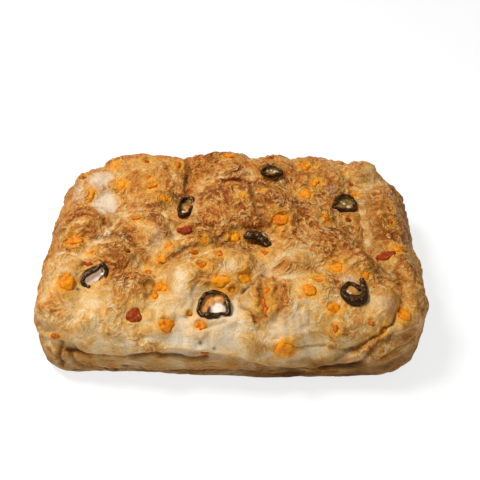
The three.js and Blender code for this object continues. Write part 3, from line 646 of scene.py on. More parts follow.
def crust_skin(settings):
    """The bread and the lumps set in it as one even skin."""
    nodes = ["bread", *SLICES, *(piece["node"] for piece in CHEDDAR if piece["node"])]
    skin = join([copy_of(node) for node in nodes], "crust")
    remesh(skin, settings.mesh_size, SKIN_ROUNDS)
    x, y, z = places_of(skin).T / MM
    low = ((x > FLANK_RIGHT) | (x < FLANK_LEFT) | (y > FLANK_BACK)) & (z < FLANK_TOP)
    right = (x > RIGHT_SHOULDER) | ((x > BACK_RIGHT[0]) & (y > BACK_RIGHT[1]))
    flanks = skin.vertex_groups.new(name="flanks")
    flanks.add(np.flatnonzero(low | right).tolist(), 1.0, "REPLACE")
    smooth(skin, FLANK_ROUNDS, vertex_group=flanks.name)
    skin.vertex_groups.clear()
    return skin


def plain_base(skin):
    """One fan of faces under the loaf, in place of the fine mesh."""
    activate(skin)
    for face in skin.data.polygons:
        face.select = all(skin.data.vertices[i].co.z < 0.3 * MM for i in face.vertices)
    bpy.ops.object.mode_set(mode="EDIT")
    bpy.ops.mesh.select_mode(type="FACE")
    bpy.ops.mesh.dissolve_faces()
    bpy.ops.mesh.poke()
    bpy.ops.object.mode_set(mode="OBJECT")


def crest_of(skin):
    """How far each vertex stands out from the smoothed skin, in millimetres."""
    activate(skin)
    bpy.ops.object.duplicate()
    smoothed = bpy.context.view_layer.objects.active
    smooth(smoothed, CREST_ROUNDS)
    away = np.sum((places_of(skin) - places_of(smoothed)) * normals_of(smoothed), axis=1)
    bpy.data.objects.remove(smoothed)
    return away / MM


def fold_marks(places, tree):
    """Depth of the folds, how dark they are, and how brown (+) or pale (-) the dough beside them is."""
    wandering = warped(places, 0.8, 5, seed=40)
    depth, dark, beside = np.zeros((3, len(places)))
    for deep, half, darkness, line in FOLDS:
        line = laid_on(tree, line)
        low, high = np.min(line, axis=0) - 9, np.max(line, axis=0) + 9
        near = np.flatnonzero(np.all((wandering > low) & (wandering < high), axis=1))
        away = distance_to_line(wandering[near], line) / half
        groove = np.exp(-away**2)
        swell = 0.35 * np.exp(-((away - 2.4) ** 2))
        depth[near] += deep * (groove - swell)
        dark[near] = np.maximum(dark[near], darkness * np.exp(-((1.1 * away) ** 2)))
        broad = darkness * np.exp(-((0.42 * away) ** 2))
        beside[near] = np.where(np.abs(broad) > np.abs(beside[near]), broad, beside[near])
    beside *= 0.75 + 0.5 * noise(places, 6, seed=44)
    for *middle, radius in CRUMBS:
        away = np.linalg.norm(wandering - np.array(middle), axis=1) / radius
        dark = np.maximum(dark, np.exp(-((0.8 * away) ** 4)))
    return np.clip(depth, -0.7, 2.2), dark, beside


def bare_level(places, normals):
    """Where the dough is bare and whitish, from 0 to 1."""
    wandering = warped(places, 2.2, 6, seed=80)
    level = np.zeros(len(places))
    for x, y, wide, long, amount in BARE_PLACES:
        away = np.hypot((wandering[:, 0] - x) / wide, (wandering[:, 1] - y) / long)
        level = np.maximum(level, amount * (1 - step(0.45, 1.2, away)))
    return level * step(0.2, 0.6, normals[:, 2])


def calm_level(places):
    """Where the crust is smooth, from 0 to 1."""
    calm = np.zeros(len(places))
    for x, y, radius, amount in CALM_PLACES:
        away = np.hypot(places[:, 0] - x, places[:, 1] - y) / radius
        calm = np.maximum(calm, amount * np.exp(-away**4))
    return calm


def baked_and_shaded_level(places, normals, crest):
    """How deeply the crust is baked, from 0 pale to 1 dark, with painted shade on the flanks and front wall.
    """
    x, y, z = places.T
    upward = step(-0.2, 0.8, normals[:, 2])
    height = step(*SHOULDER_FADE, z)
    toward_back = step(-70, 10, y)
    level = 0.17 + 0.12 * height + 0.20 * toward_back * upward + 0.06 * upward
    level += 0.075 * np.clip(crest, -3, 3)
    for px, py, radius, amount in BAKED_PLACES:
        away = np.hypot(x - px, y - py) / radius
        level += amount * np.exp(-away**2) * step(0, 0.5, normals[:, 2])
    for px, pz, radius, amount in WALL_PLACES:
        away = np.hypot(x - px, z - pz) / radius
        level += amount * np.exp(-away**2) * step(0.2, 0.7, -normals[:, 1])
    level += 0.10 * noise(places, 14, seed=3) + 0.07 * noise(places, 6, seed=5)
    # Darker on the flanks, as painted shade
    return level + 0.16 * step(104, 119, np.abs(x))


def fat_level(places, spots):
    """Where fat from the cheese has soaked in, from 0 to 1, less round the browned pieces."""
    wandering = warped(places, 2.0, 5, seed=60)
    level = np.zeros(len(places))
    for middle, radius, browned in spots:
        away = np.linalg.norm(wandering - np.array(middle) / MM, axis=1) - radius / MM
        away = np.maximum(away, 0)
        stain = 0.55 * np.exp(-((away / 1.6) ** 2)) + 0.45 * np.exp(-((away / 4.6) ** 2))
        level = np.maximum(level, (1 - 0.65 * browned) * stain)
    return level


def wrinkles(places, normals, level, wall, settings):
    """Height of the wrinkles, blisters and layers in millimetres, and how they change what is baked dark."""
    bent = warped(places, 3.0, 9, seed=20)
    browned = step(0.25, 0.6, level)
    on_top = step(0.0, 0.6, normals[:, 2])
    thread = 1 - 2.4 * np.abs(drawn_dough(places, seed=70))
    worms = np.sin(26 * noise(bent, 19, seed=33) + 5 * noise(places, 7, seed=34))
    worms = worms * step(-0.3, 0.3, noise(places, 15, seed=35))
    pillow = np.abs(noise(bent, 17, seed=30)) * 2.4 + np.abs(noise(bent, 8, seed=31)) * 1.5 - 1.0
    blister = 0.7 * noise(bent, 4.2, seed=7) + 0.5 * noise(places, 2.4, seed=8)
    layers = noise(places / np.array([16, 16, 2.2]), 1.0, seed=90)
    relief = settings.wrinkle / MM * (0.1 + 0.9 * browned) * (0.6 * thread + 0.8 * worms) * on_top
    relief += settings.blister / MM * blister * (0.5 + 0.5 * browned) + pillow * (0.35 + 0.65 * on_top)
    relief += 0.55 * wall * layers
    return relief, level + 0.06 * thread * browned + 0.08 * (pillow - 0.2)


def pressed_in(relief, places, spots):
    """The relief flattened and sunk under the slices and the cheddar, with a collar round the cheddar."""
    for node in SLICES:
        low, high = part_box(node)
        reach = 0.5 * max(high.x - low.x, high.y - low.y) / MM
        away = np.linalg.norm(places - np.array((low + high) / 2) / MM, axis=1)
        sunk = SINK * (1 - step(0.8 * reach, 1.3 * reach, away))
        relief = relief * step(0.8 * reach, 1.4 * reach, away) - sunk
    pressed, collar = np.zeros((2, len(places)))
    for middle, radius, _ in spots:
        away = np.linalg.norm(places - np.array(middle) / MM, axis=1) / (radius / MM)
        pressed = np.maximum(pressed, 1 - step(0.6, 1.1, away))
        collar = np.maximum(collar, np.exp(-(((away - 1.35) / 0.3) ** 2)))
    return relief * (1 - 0.8 * pressed) - SINK * pressed + 0.3 * collar


def wrinkle_skin(skin, settings, tree):
    """Moves the skin out and in for wrinkles, blisters and folds, and paints its tones."""
    spots = topping_spots(tree)
    crest = crest_of(skin)
    places, normals = places_of(skin) / MM, normals_of(skin)
    x, _, z = places.T
    depth, dark, beside = fold_marks(places, tree)
    level = baked_and_shaded_level(places, normals, crest) + np.where(beside > 0, 0.22, 0.32) * beside
    wall = 1 - step(*WALL_FADE, z + 4 * noise(places, 12, seed=9))
    bare = np.maximum(bare_level(places, normals), -0.12 * beside)
    relief, level = wrinkles(places, normals, level, wall, settings)
    relief = pressed_in(relief * (1 - 0.75 * bare), places, spots)
    relief = (relief - depth) * step(*BASE_FADE, z)
    move_to(skin, (places + relief[:, None] * normals) * MM)
    # Painted shade low on the wall by the floor, stronger toward the right
    foot = 1 - step(*FOOT_FADE, z + 3 * noise(places, 9, seed=12))
    foot *= 0.2 + 0.8 * step(-120, 80, x)
    marks = 1 - step(*FOOT_MARKS, z + 4 * noise(places, 12, seed=13))
    left, right = step(0.2, 0.85, -normals[:, 0]), step(0.2, 0.85, normals[:, 0])
    paint(skin, "baked", level)
    # The fold attribute holds the dark of the folds and crumbs, and the painted shade by the floor
    paint(skin, "fold", np.maximum(dark, 0.9 * foot))
    paint(skin, "fat", fat_level(places, spots))
    paint(skin, "calm", calm_level(places))
    # The wall gets darker toward the right: painted shade
    paint(skin, "wall", wall * (0.8 + 0.25 * step(-110, 100, x)))
    # Painted shade on the flanks, more on the side that faces left
    paint(skin, "flank", 0.46 * left + 0.28 * right)
    paint(skin, "foot", wall * (0.25 + 0.75 * marks))
    paint(skin, "bare", bare)


def crust_height(shader, flow, baked, wall):
    """The fine wrinkles of the crust, from 0 to 1, and the places of the level layers low on the wall."""

    def where_browned(patches, factor, plus, most):
        share = shader.times(patches, shader.scaled(baked, factor, plus, clamp=True))
        return shader.times(share, most)

    drawn = shader.streaks(flow, TURNS[0])
    for turn, grain in zip(TURNS[1:], (0.021, 0.027)):
        share = shader.patches(grain, 0, 6.0, -2.5)
        drawn = shader.blend(share, drawn, shader.streaks(flow, turn))
    drawn = shader.scaled(drawn, 1.5, -0.25)
    inputs = {"Vector": flow, "Scale": 1 / CRINKLE, "Detail": 2.0, "Roughness": 0.7, "Lacunarity": 2.2}
    inputs |= {"Offset": 0.8, "Gain": 2.0, "Distortion": 0.8}
    crinkles = shader.add("ShaderNodeTexNoise", inputs, noise_type="RIDGED_MULTIFRACTAL").outputs["Fac"]
    share = shader.times(shader.scaled(baked, 2.2, clamp=True), 0.9)
    height = shader.blend(share, drawn, shader.times(crinkles, 0.8))
    crumple = shader.flow(0.006, 0.0028)
    swirl = shader.times(shader.noise(CURL, 2.5, 0.5, 0.6, crumple), 25.0)
    curls = shader.scaled(shader.math("ABSOLUTE", shader.math("SINE", swirl)), -1.0, 1.0)
    share = where_browned(shader.patches(0.006, 2, 5.0, -1.9), 2.5, -0.45, 0.35)
    height = shader.blend(share, height, curls)
    cells = shader.add("ShaderNodeTexVoronoi", {"Vector": crumple, "Scale": 1 / BEAD}).outputs["Distance"]
    share = where_browned(shader.patches(0.009, 1, 5.0, -2.1), 2.0, -0.8, 0.6)
    height = shader.blend(share, height, shader.scaled(cells, -1.5, 1.25))
    inputs = {"Vector": flow, "Scale": LAYER}
    layers = shader.add("ShaderNodeMapping", inputs, vector_type="TEXTURE").outputs[0]
    level_layers = shader.scaled(shader.noise(1.0, 3, 0.7, 0.3, layers), 3.4, -1.2)
    return shader.blend(wall, height, level_layers), layers


def crust_level(shader, baked, height, mottle, speck, crumpled):
    """How brown each spot is, from 0 to 1: uneven, speckled, and darker in the hollows of the wrinkles and
    paler on their crests, partly as painted shade and highlight.
    """
    contrast = shader.times(shader.scaled(baked, 2.3, -0.16), crumpled)
    uneven = shader.scaled(baked, 0.5, 0.52)
    level = shader.scaled(shader.math("SUBTRACT", mottle, 0.5), uneven, shader.math("ADD", baked, 0.055))
    # Darker in the hollows and paler on the crests of the wrinkles: partly browning, partly painted shade and
    # highlight
    level = shader.scaled(shader.math("SUBTRACT", 0.48, height), contrast, level)
    return shader.scaled(speck, 0.56, shader.math("SUBTRACT", level, 0.28))


def crust_colour(shader, settings, level, height, wall, flank, bare, layers):
    """The baked tones, then the fat, the tone of the wall with painted shade, painted shade on the flanks,
    the bare dough and the dark folds over them.
    """
    colour = shader.ramp(level, CRUST_TONES, settings)
    fat = shader.scaled(shader.noise(0.003, 3, 0.6), 1.8, -0.1)
    fat = shader.times(shader.attribute("fat"), fat, clamp=True)
    colour = shader.mix(shader.times(fat, 1.1, clamp=True), colour, settings.stain)
    colour = shader.mix(shader.scaled(fat, 2.0, -0.7, clamp=True), colour, settings.fat)
    dry_and_shaded_wall = shader.times(wall, shader.scaled(height, 0.7, 0.28), clamp=True)
    # The wall colour goes over the wall, partly as painted shade, and over the flanks as painted shade
    for share in (dry_and_shaded_wall, flank):
        colour = shader.mix(share, colour, settings.wall)
    colour = shader.mix(bare, colour, settings.bare)
    marks = shader.scaled(shader.noise(1.0, 2, 0.6, 0.3, layers), 9.0, -4.9, clamp=True)
    marks = shader.times(marks, shader.times(shader.attribute("foot"), 0.95))
    # The dark of the folds and crumbs, the painted shade by the floor and the marks low on the wall
    return shader.mix(shader.math("MAXIMUM", shader.attribute("fold"), marks), colour, settings.crease_brown_and_shade)


def crust_roughness(shader, height, flank, wall):
    """Oily patches and glossy wrinkles on a crust that is matt on the flanks and the wall."""
    oil = shader.patches(0.014, 2, 5.0, -2.0)
    rough = 0.58
    for share, more in ((oil, -0.34), (height, -0.12), (flank, 0.9)):
        rough = shader.scaled(share, more, rough)
    return shader.scaled(wall, 0.3, rough, clamp=True)


def crust_material(settings):
    shader = Shader("baked_crust")
    flow = shader.flow(0.020, 0.009)
    baked, wall, flank = (shader.attribute(name) for name in ("baked", "wall", "flank"))
    height, layers = crust_height(shader, flow, baked, wall)
    mottle = shader.noise(MOTTLE, 3, 0.6, 0.8, flow)
    speck = shader.noise(SPECK, 3, 0.65)
    crumpled = shader.scaled(shader.noise(0.016, 2, 0.5, 0.5), 3.2, -1.1, clamp=True)
    calm = shader.scaled(shader.attribute("calm"), -0.75, 1.0)
    crumpled = shader.times(shader.scaled(crumpled, 0.75, 0.45), calm)
    bare = shader.times(shader.attribute("bare"), shader.scaled(mottle, 0.8, 0.5), clamp=True)
    level = crust_level(shader, baked, height, mottle, speck, crumpled)
    relief = shader.times(shader.times(height, shader.scaled(baked, 1.1, 0.2)), crumpled)
    relief = shader.times(relief, shader.scaled(bare, -0.75, 1.0))
    return shader.finish(
        Base_Color=crust_colour(shader, settings, level, height, wall, flank, bare, layers),
        Roughness=crust_roughness(shader, height, flank, wall),
        Normal=shader.bump(shader.scaled(speck, 0.34, relief), 0.0019, 1.0),
        Subsurface_Weight=0.05, Subsurface_Radius=(0.002, 0.001, 0.0005), Subsurface_Scale=1.0,
        Specular_IOR_Level=0.24, Specular_Tint=(1.0, 0.78, 0.50),
    )


class FOCACCIA_OT_crust(bpy.types.Operator):
    """Model the crust over the bread's solid"""

    bl_idname = "focaccia.crust"
    bl_label = "Crust"

    def execute(self, context):
        settings = context.scene.focaccia_crust
        skin = crust_skin(settings)
        wrinkle_skin(skin, settings, solid_tree(skin))
        plain_base(skin)
        dress(skin, crust_material(settings))
        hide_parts("bread")
        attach(skin, "root")
        return {"FINISHED"}


# Cheddar


def roughen_cheddar(piece, crust, settings, browned, seed):
    """Gives cheddar a melted, uneven surface and paints its tone: browned and painted shade near the crust.
    """
    places, normals = places_of(piece) / MM, normals_of(piece)
    bump = 0.9 * noise(places + 7 * seed, 2.6, seed) + 0.5 * noise(places + seed, 1.3, seed)
    places = places + settings.roughen / MM * bump[:, None] * normals
    move_to(piece, places * MM)
    depth = np.array([crust.find_nearest(Vector(place) * MM)[3] for place in places]) / MM
    # Lighter on the bumps and darker between them: painted highlight and shade
    paint(piece, "tone", browned + 0.14 * noise(places + seed, 3.0, seed + 1) - 0.10 * bump)
    # Browned, with painted shade, where the cheddar meets the crust
    paint(piece, "edge", np.exp(-((depth / 0.6) ** 2)))


def cheddar_lump(piece, seed):
    """A few lobes run together into one lump, wider than it is high, sunk in the crust."""
    random = np.random.default_rng(seed)
    wide, long = 0.5 * piece["wide"], 0.5 * piece["long"]
    high = (0.54 if piece["node"] else 0.5) * min(wide, long)
    lobes = 1 + int(wide + long > TWO_LOBES) + 2 * int(wide + long > FOUR_LOBES)
    parts = []
    for lobe in range(lobes):
        bpy.ops.object.select_all(action="DESELECT")
        bpy.ops.mesh.primitive_ico_sphere_add(subdivisions=3, radius=1)
        share = 1.0 if lobes == 1 else random.uniform(*LOBE_SHARE)
        reach = 0 if lobes == 1 else random.uniform(*LOBE_REACH)
        angle = LOBE_TURN * lobe + seed
        part = bpy.context.object
        places = places_of(part) * np.array([wide * share, long * share, high * (0.5 + 0.5 * share)])
        places += np.array([wide * reach * math.cos(angle), long * reach * math.sin(angle), 0])
        move_to(part, places * MM)
        parts.append(part)
    lump = join(parts, "lump")
    remesh(lump, LUMP_MESH, 9)
    up = Vector((0, 0, 1)) if piece["normal"].z > 0.5 else Vector((0, 0.001, 1))
    turn = up.rotation_difference(piece["normal"]).to_matrix().to_4x4()
    lump.data.transform(Matrix.Translation(piece["place"] - 0.12 * high * MM * piece["normal"]) @ turn)
    return lump


def cheddar_material(settings):
    shader = Shader("melted_cheddar")
    patch = shader.noise(0.0024, 3, 0.6, 0.5)
    grain = shader.noise(0.0009, 3, 0.65)
    browned = shader.scaled(patch, 1.2, shader.math("SUBTRACT", shader.attribute("tone"), 0.60))
    browned = shader.scaled(grain, 1.0, shader.math("SUBTRACT", browned, 0.5))
    # Darker where the cheddar meets the crust: browning and painted shade
    browned = shader.scaled(shader.attribute("edge"), 0.24, browned)
    return shader.finish(
        Base_Color=shader.ramp(browned, CHEDDAR_TONES, settings),
        Roughness=shader.scaled(grain, 0.5, 0.08),
        Normal=shader.bump(shader.scaled(grain, 0.6, patch), 0.0010, 0.9),
        Subsurface_Weight=0.08, Subsurface_Radius=(0.002, 0.0008, 0.0003), Subsurface_Scale=1.0,
        Specular_IOR_Level=0.25, Specular_Tint=(1.0, 0.8, 0.5),
    )


class FOCACCIA_OT_cheddar(bpy.types.Operator):
    """Model the melted lumps and bits of cheddar"""

    bl_idname = "focaccia.cheddar"
    bl_label = "Cheddar"

    def execute(self, context):
        settings = context.scene.focaccia_cheddar
        material = cheddar_material(settings)
        crust = solid_tree(bpy.data.objects["crust"])
        pieces, bits = [], []
        for seed, piece in enumerate(cheddar_places(crust)):
            lump = cheddar_lump(piece, seed)
            roughen_cheddar(lump, crust, settings, piece["tone"], seed)
            if piece["node"]:
                lump.name = lump.data.name = "melted_" + piece["node"]
                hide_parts(piece["node"])
                pieces.append(lump)
            else:
                bits.append(lump)
        pieces.append(join(bits, "cheddar_bits"))
        for piece in pieces:
            dress(piece, material)
            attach(piece, "root")
        return {"FINISHED"}


# Jalapeno

# Each slice in the plane of its solid, in millimetres: points of the dark band, with its half width at each,
# the outline of what fills it, and the spots that are painted on it, each an x, a y and a radius
SLICES = {
    "jalapeno_front_left": {
        "closed": False,
        "band": [(0.3, -7.2, 1.1), (-2.2, -6.9, 1.3), (-4.4, -4.3, 1.3), (-3.1, -1.2, 1.5),
            (-0.1, 1.1, 1.6), (2.8, 2.8, 1.4), (5.0, 4.7, 1.4), (6.3, 6.2, 1.3), (8.4, 5.9, 1.4),
            (9.7, 2.8, 1.4), (9.2, -0.6, 1.3)],
        "inside": [(0.6, -6.6), (-2.8, -5.8), (-3.4, -3.4), (-1.4, -0.6), (2.2, 1.2), (6.4, 4.4),
            (7.4, 0.8), (3.8, -4.8)],
        "spots": {"pith": [(1.0, -2.6, 6.5), (5.8, 2.0, 4.0)]},
    },
    "jalapeno_front_middle": {
        "closed": True,
        "band": [(-8.0, -2.5, 1.2), (-7.0, 2.9, 1.3), (-4.8, 7.1, 1.4), (-1.1, 8.9, 1.2), (3.0, 8.8, 1.1),
            (6.6, 6.9, 1.3), (8.6, 3.4, 1.6), (9.0, -0.8, 1.5), (9.6, -5.2, 1.1), (5.6, -5.0, 1.2),
            (1.0, -5.9, 1.6), (-3.6, -6.4, 1.7), (-6.8, -5.2, 1.4)],
        "inside": [(-7.0, -3.4), (-6.4, 2.4), (-4.4, 6.2), (0.8, 8.2), (5.8, 6.2), (7.8, 2.4), (8.0, -3.6),
            (9.4, -7.2), (6.2, -8.4), (2.2, -8.2), (1.0, -5.2), (-5.0, -5.4)],
        "spots": {"pith": [(3.2, -1.8, 4.8), (6.2, -7.4, 2.8)],
            "glaze": [(-2.6, 4.2, 6.0), (3.4, 5.6, 5.0), (-5.8, -1.6, 3.6)]},
    },
    "jalapeno_back_left": {
        "closed": True,
        "band": [(-1.6, 6.5, 1.1), (2.4, 6.6, 1.2), (6.1, 5.4, 1.1), (5.7, 0.8, 1.0), (5.3, -3.8, 1.1),
            (3.8, -8.2, 1.2), (0.6, -10.0, 1.2), (-2.4, -9.2, 1.1), (-3.0, -4.5, 1.0), (-2.4, 1.4, 1.0)],
        "inside": [(-1.4, 5.8), (2.4, 5.8), (5.2, 4.4), (5.0, 0.8), (4.6, -3.6), (3.2, -7.6), (0.6, -9.2),
            (-1.8, -8.6), (-2.4, -4.5), (-1.8, 1.4)],
        "spots": {"flesh": [(1.4, -1.0, 4.4), (3.4, 3.6, 2.0), (2.8, -5.6, 2.0)],
            "glaze": [(1.8, -2.2, 2.0)], "pith": [(-0.4, -5.6, 1.3), (3.6, -5.4, 0.9)]},
    },
    "jalapeno_middle": {
        "closed": False,
        "band": [(-8.6, -1.4, 1.9), (-7.4, 0.6, 2.7), (-4.6, 1.2, 3.0), (-0.8, 0.1, 3.0), (2.6, -2.9, 2.8),
            (5.2, -6.1, 2.4), (7.4, -9.8, 1.5)],
        "inside": [(1.6, 2.6), (5.4, 0.8), (8.4, -2.4), (10.0, -6.2), (8.2, -6.2), (4.0, -4.0), (0.0, 0.0)],
        "spots": {"pith": [(4.4, 0.6, 2.4), (7.4, -2.4, 2.4), (9.4, -5.4, 2.2)]},
    },
    "jalapeno_back": {
        "closed": True,
        "band": [(-6.4, -2.8, 0.9), (-3.7, 0.3, 1.0), (0.7, 1.2, 1.1), (5.2, -0.1, 1.0), (8.2, -3.4, 1.0),
            (8.1, -5.1, 1.0), (3.7, -5.6, 1.2), (0.9, -6.4, 1.1), (-3.1, -4.9, 1.0)],
        "inside": [(-5.4, -2.8), (-3.4, -0.4), (0.7, 0.2), (4.8, -0.9), (7.0, -3.9), (3.7, -4.6),
            (0.9, -5.4), (-2.8, -4.3)],
        "spots": {"flesh": [(1.4, -2.4, 5.0), (5.4, -3.0, 2.0)],
            "pith": [(-1.4, -2.0, 0.9), (1.2, -1.4, 0.9), (3.2, -2.6, 0.8)]},
    },
    "jalapeno_back_right": {
        "closed": True,
        "band": [(-8.1, -6.7, 1.1), (-5.5, 0.2, 1.2), (-1.9, 5.0, 1.2), (2.5, 6.6, 1.5), (6.1, 4.1, 1.3),
            (7.8, 0.1, 1.5), (7.8, -5.1, 1.3), (3.9, -6.9, 1.1), (-1.1, -7.9, 1.5), (-5.2, -7.3, 1.2)],
        "inside": [(-6.8, -6.1), (-4.7, 0.0), (-1.5, 4.2), (2.4, 5.4), (5.4, 3.3), (6.8, 0.0), (6.6, -4.4),
            (3.7, -6.1), (-1.1, -7.0), (-4.9, -6.6)],
        "spots": {"flesh": [(0.6, -0.4, 6.0), (4.8, 0.6, 2.4)],
            "pith": [(-1.6, 1.4, 1.2), (0.8, -0.6, 1.2), (3.2, -2.6, 1.2)], "glaze": [(-3.4, -4.6, 2.4)]},
    },
    "jalapeno_front_right": {
        "closed": False,
        "band": [(6.0, 9.3, 1.2), (7.0, 5.6, 1.8), (7.0, 0.6, 1.8), (6.2, -3.6, 2.4), (3.9, -6.0, 2.9),
            (0.2, -6.4, 3.1), (-3.4, -5.0, 2.5), (-5.7, -1.8, 1.6), (-5.5, 2.0, 1.3), (-3.0, 5.1, 1.2),
            (0.0, 5.9, 1.3), (2.5, 4.1, 1.4), (4.5, 1.6, 1.2)],
        "inside": [(-4.9, -2.2), (-4.8, 1.5), (-2.6, 4.3), (0.0, 5.0), (2.2, 3.4), (5.4, 0.4), (5.6, -4.0),
            (3.6, -6.4), (0.0, -7.0), (-3.4, -5.5)],
        "spots": {"glaze": [(-0.4, 1.4, 4.6)], "pith": [(-3.4, 0.2, 1.1), (-1.6, -1.6, 1.0)],
            "flesh": [(2.6, -1.4, 2.2), (-3.4, 2.6, 1.4)]},
    },
}


def plane_of(node):
    """The middle of the top of a flat solid and the directions of its plane, the last one upwards."""
    solid = copy_of(node)
    places = places_of(solid)
    bpy.data.objects.remove(solid)
    middle = places.mean(axis=0)
    _, directions = np.linalg.eigh(np.cov((places - middle).T))
    upward = Vector(directions[:, 0])
    if upward.z < 0:
        upward = -upward
    across = Vector((1, 0, 0))
    across = (across - upward * across.dot(upward)).normalized()
    turn = Matrix((across, upward.cross(across), upward)).transposed().to_4x4()
    top = float(np.percentile((places - middle) @ np.array(upward), 90))
    return Matrix.Translation(Vector(middle) + top * upward) @ turn


def mean_half(points):
    """The mean half width of a band."""
    return np.mean([half for x, y, half in points])


def band_of(points, closed, thickness):
    """The dark band of a slice: a tube along its points, as high as the slice is thick."""
    curve = bpy.data.curves.new("band", "CURVE")
    curve.dimensions, curve.bevel_depth, curve.bevel_resolution = "3D", MM, 4
    curve.use_fill_caps, curve.resolution_u = True, 6
    spline = curve.splines.new("NURBS")
    spline.points.add(len(points) - 1)
    spline.order_u, spline.use_cyclic_u, spline.use_endpoint_u = 3, closed, not closed
    for point, (x, y, half) in zip(spline.points, points):
        point.co = (x * MM, y * MM, 0, 1)
        point.radius = 1.2 * half
    band = bpy.data.objects.new("band", curve)
    bpy.context.scene.collection.objects.link(band)
    activate(band)
    bpy.ops.object.convert(target="MESH")
    places = places_of(band)
    places[:, 2] *= 0.5 * thickness / MM / mean_half(points)
    places[:, 2] += 0.7 * MM - 0.5 * thickness
    move_to(band, places)
    return band


def inside_of(points, thickness):
    """The flesh and pith that fill the band, thinner than it."""
    bpy.ops.object.select_all(action="DESELECT")
    bpy.ops.mesh.primitive_circle_add(vertices=len(points), radius=1, fill_type="NGON")
    inside = bpy.context.object
    move_to(inside, np.array([(x * MM, y * MM, -0.5 * thickness) for x, y in points]))
    finish_with(inside, "SOLIDIFY", thickness=0.5 * thickness + 0.35 * MM, offset=1)
    return inside


def on_plane(flat):
    """Places on a slice's plane as places in space."""
    return np.column_stack([flat, np.zeros(len(flat))])


def spot_level(flat, spots):
    """Where the spots of one kind lie on a slice, from 0 to 1."""
    level = np.zeros(len(flat))
    wandering = warped(on_plane(flat), 0.8, 2.2, seed=5)[:, :2]
    for x, y, radius in spots:
        away = np.hypot(wandering[:, 0] - x, wandering[:, 1] - y) / radius
        level = np.maximum(level, 1 - step(0.45, 1.1, away))
    return level


def jalapeno_slice(node, shape, settings, seed):
    """The band and what fills it as one mesh, warped a little and painted, in the place of its solid."""
    band = band_of(shape["band"], shape["closed"], settings.thickness)
    piece = join([band, inside_of(shape["inside"], settings.thickness)], "slice_" + node)
    remesh(piece, settings.mesh_size, 2)
    places, normals = places_of(piece) / MM, normals_of(piece)
    flat = places[:, :2]
    line = [(x, y, 0) for x, y, half in shape["band"]]
    if shape["closed"]:
        line.append(line[0])
    half = 0.8 * mean_half(shape["band"])
    on_band = 1 - step(half, half + 0.5, distance_to_line(on_plane(flat), line))
    bump = (0.25 + 0.25 * on_band) * noise(places, 2.4, seed) + 0.1 * noise(places, 1.2, seed + 1)
    places += bump[:, None] * normals
    places[:, 2] += 0.5 * noise(on_plane(flat), 6, seed + 2)
    move_to(piece, places * MM)
    for kind in FILLINGS:
        paint(piece, kind, spot_level(flat, shape["spots"].get(kind, ())) * (1 - on_band))
    # Painted sheen on the upward faces of the band
    paint(piece, "crown", on_band * step(0.55, 0.95, normals[:, 2]))
    piece.data.transform(plane_of(node))
    return piece


def jalapeno_material(settings):
    shader = Shader("baked_jalapeno")
    patch = shader.noise(0.0018, 3, 0.65, 0.4)
    grain = shader.noise(0.0006, 2, 0.6)
    # The painted sheen goes over the dark skin in patches
    streak = shader.times(shader.scaled(patch, 5.0, -2.3, clamp=True), shader.attribute("crown"))
    colour = shader.mix(shader.times(streak, 0.6), settings.skin, settings.crown)
    for kind in FILLINGS:
        share = shader.times(shader.attribute(kind), shader.scaled(patch, 1.0, 0.5), clamp=True)
        colour = shader.mix(share, colour, getattr(settings, kind))
    return shader.finish(
        Base_Color=colour, Roughness=shader.scaled(patch, 0.3, 0.02),
        Normal=shader.bump(shader.scaled(grain, 0.3, patch), 0.0005, 0.7),
        Specular_IOR_Level=0.34, Specular_Tint=(1.0, 0.66, 0.38),
    )


class FOCACCIA_OT_jalapeno(bpy.types.Operator):
    """Model the slices of jalapeno"""

    bl_idname = "focaccia.jalapeno"
    bl_label = "Jalapeno"

    def execute(self, context):
        settings = context.scene.focaccia_jalapeno
        material = jalapeno_material(settings)
        for seed, (node, shape) in enumerate(SLICES.items(), 20):
            piece = jalapeno_slice(node, shape, settings, seed)
            dress(piece, material)
            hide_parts(node)
            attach(piece, "root")
        return {"FINISHED"}


# Stage


def area_light(name, watts):
    """A square light at its place in the list, turned to the loaf."""
    place, side = LIGHTS[name]
    light = bpy.data.lights.new(name, "AREA")
    light.size, light.energy = side, watts
    lamp = bpy.data.objects.new(name, light)
    bpy.context.scene.collection.objects.link(lamp)
    lamp.location = place
    lamp.rotation_euler = (Vector(LIT_POINT) - Vector(place)).to_track_quat("-Z", "Y").to_euler()


def even_light(strength):
    """A white world."""
    world = bpy.data.worlds.new("even_light")
    world.use_nodes = True
    background = world.node_tree.nodes["Background"].inputs
    background["Color"].default_value = (1, 1, 1, 1)
    background["Strength"].default_value = strength
    return world


def photographs_camera():
    """A camera at the photograph's place and angle."""
    camera = bpy.data.objects.new("camera", bpy.data.cameras.new("camera"))
    bpy.context.scene.collection.objects.link(camera)
    camera.data.lens, camera.data.sensor_width, camera.data.clip_start = LENS, SENSOR, NEAREST
    camera.location = AIM + AWAY * Vector((0, -math.cos(TILT), math.sin(TILT)))
    camera.rotation_euler = (math.pi / 2 - TILT, 0, 0)
    return camera


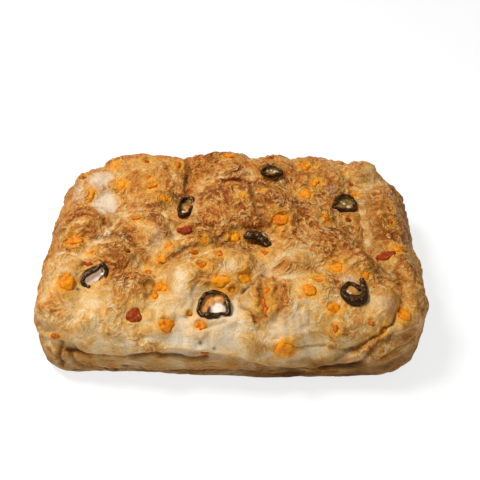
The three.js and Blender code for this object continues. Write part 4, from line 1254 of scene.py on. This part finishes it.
class FOCACCIA_OT_stage(bpy.types.Operator):
    """Set the floor, the lights and the camera"""

    bl_idname = "focaccia.stage"
    bl_label = "Stage"

    def execute(self, context):
        settings = context.scene.focaccia_stage
        bpy.ops.object.select_all(action="DESELECT")
        bpy.ops.mesh.primitive_plane_add(size=settings.floor_size)
        floor = bpy.context.object
        floor.name = floor.data.name = "floor"
        paper = Shader("pale_floor").finish(
            Base_Color=(0.25, 0.25, 0.25), Roughness=0.9, Specular_IOR_Level=0.0,
            Emission_Color=(1, 1, 1), Emission_Strength=0.76,
        )
        floor.data.materials.append(paper)
        context.scene.world = even_light(settings.sky)
        for name in LIGHTS:
            area_light(name, getattr(settings, name + "_power"))
        context.scene.camera = photographs_camera()
        context.scene.view_settings.view_transform = "Standard"
        return {"FINISHED"}


class FOCACCIA_PT_panel(bpy.types.Panel):
    bl_label = "Jalapeno focaccia"
    bl_idname = "FOCACCIA_PT_panel"
    bl_space_type = "VIEW_3D"
    bl_region_type = "UI"
    bl_category = "Focaccia"

    def draw(self, context):
        for operator, name, group in STEPS:
            box = self.layout.box()
            box.operator(operator.bl_idname)
            for setting in group.__annotations__:
                box.prop(getattr(context.scene, name), setting)


STEPS = [
    (FOCACCIA_OT_crust, "focaccia_crust", CrustSettings),
    (FOCACCIA_OT_cheddar, "focaccia_cheddar", CheddarSettings),
    (FOCACCIA_OT_jalapeno, "focaccia_jalapeno", JalapenoSettings),
    (FOCACCIA_OT_stage, "focaccia_stage", StageSettings),
]


def register():
    for operator, name, group in STEPS:
        bpy.utils.register_class(group)
        setattr(bpy.types.Scene, name, bpy.props.PointerProperty(type=group))
        bpy.utils.register_class(operator)
    bpy.utils.register_class(FOCACCIA_PT_panel)


def unregister():
    bpy.utils.unregister_class(FOCACCIA_PT_panel)
    for operator, name, group in reversed(STEPS):
        bpy.utils.unregister_class(operator)
        delattr(bpy.types.Scene, name)
        bpy.utils.unregister_class(group)


def main():
    register()
    bpy.ops.focaccia.crust()
    bpy.ops.focaccia.cheddar()
    bpy.ops.focaccia.jalapeno()
    bpy.ops.focaccia.stage()


if __name__ == "__main__":
    main()
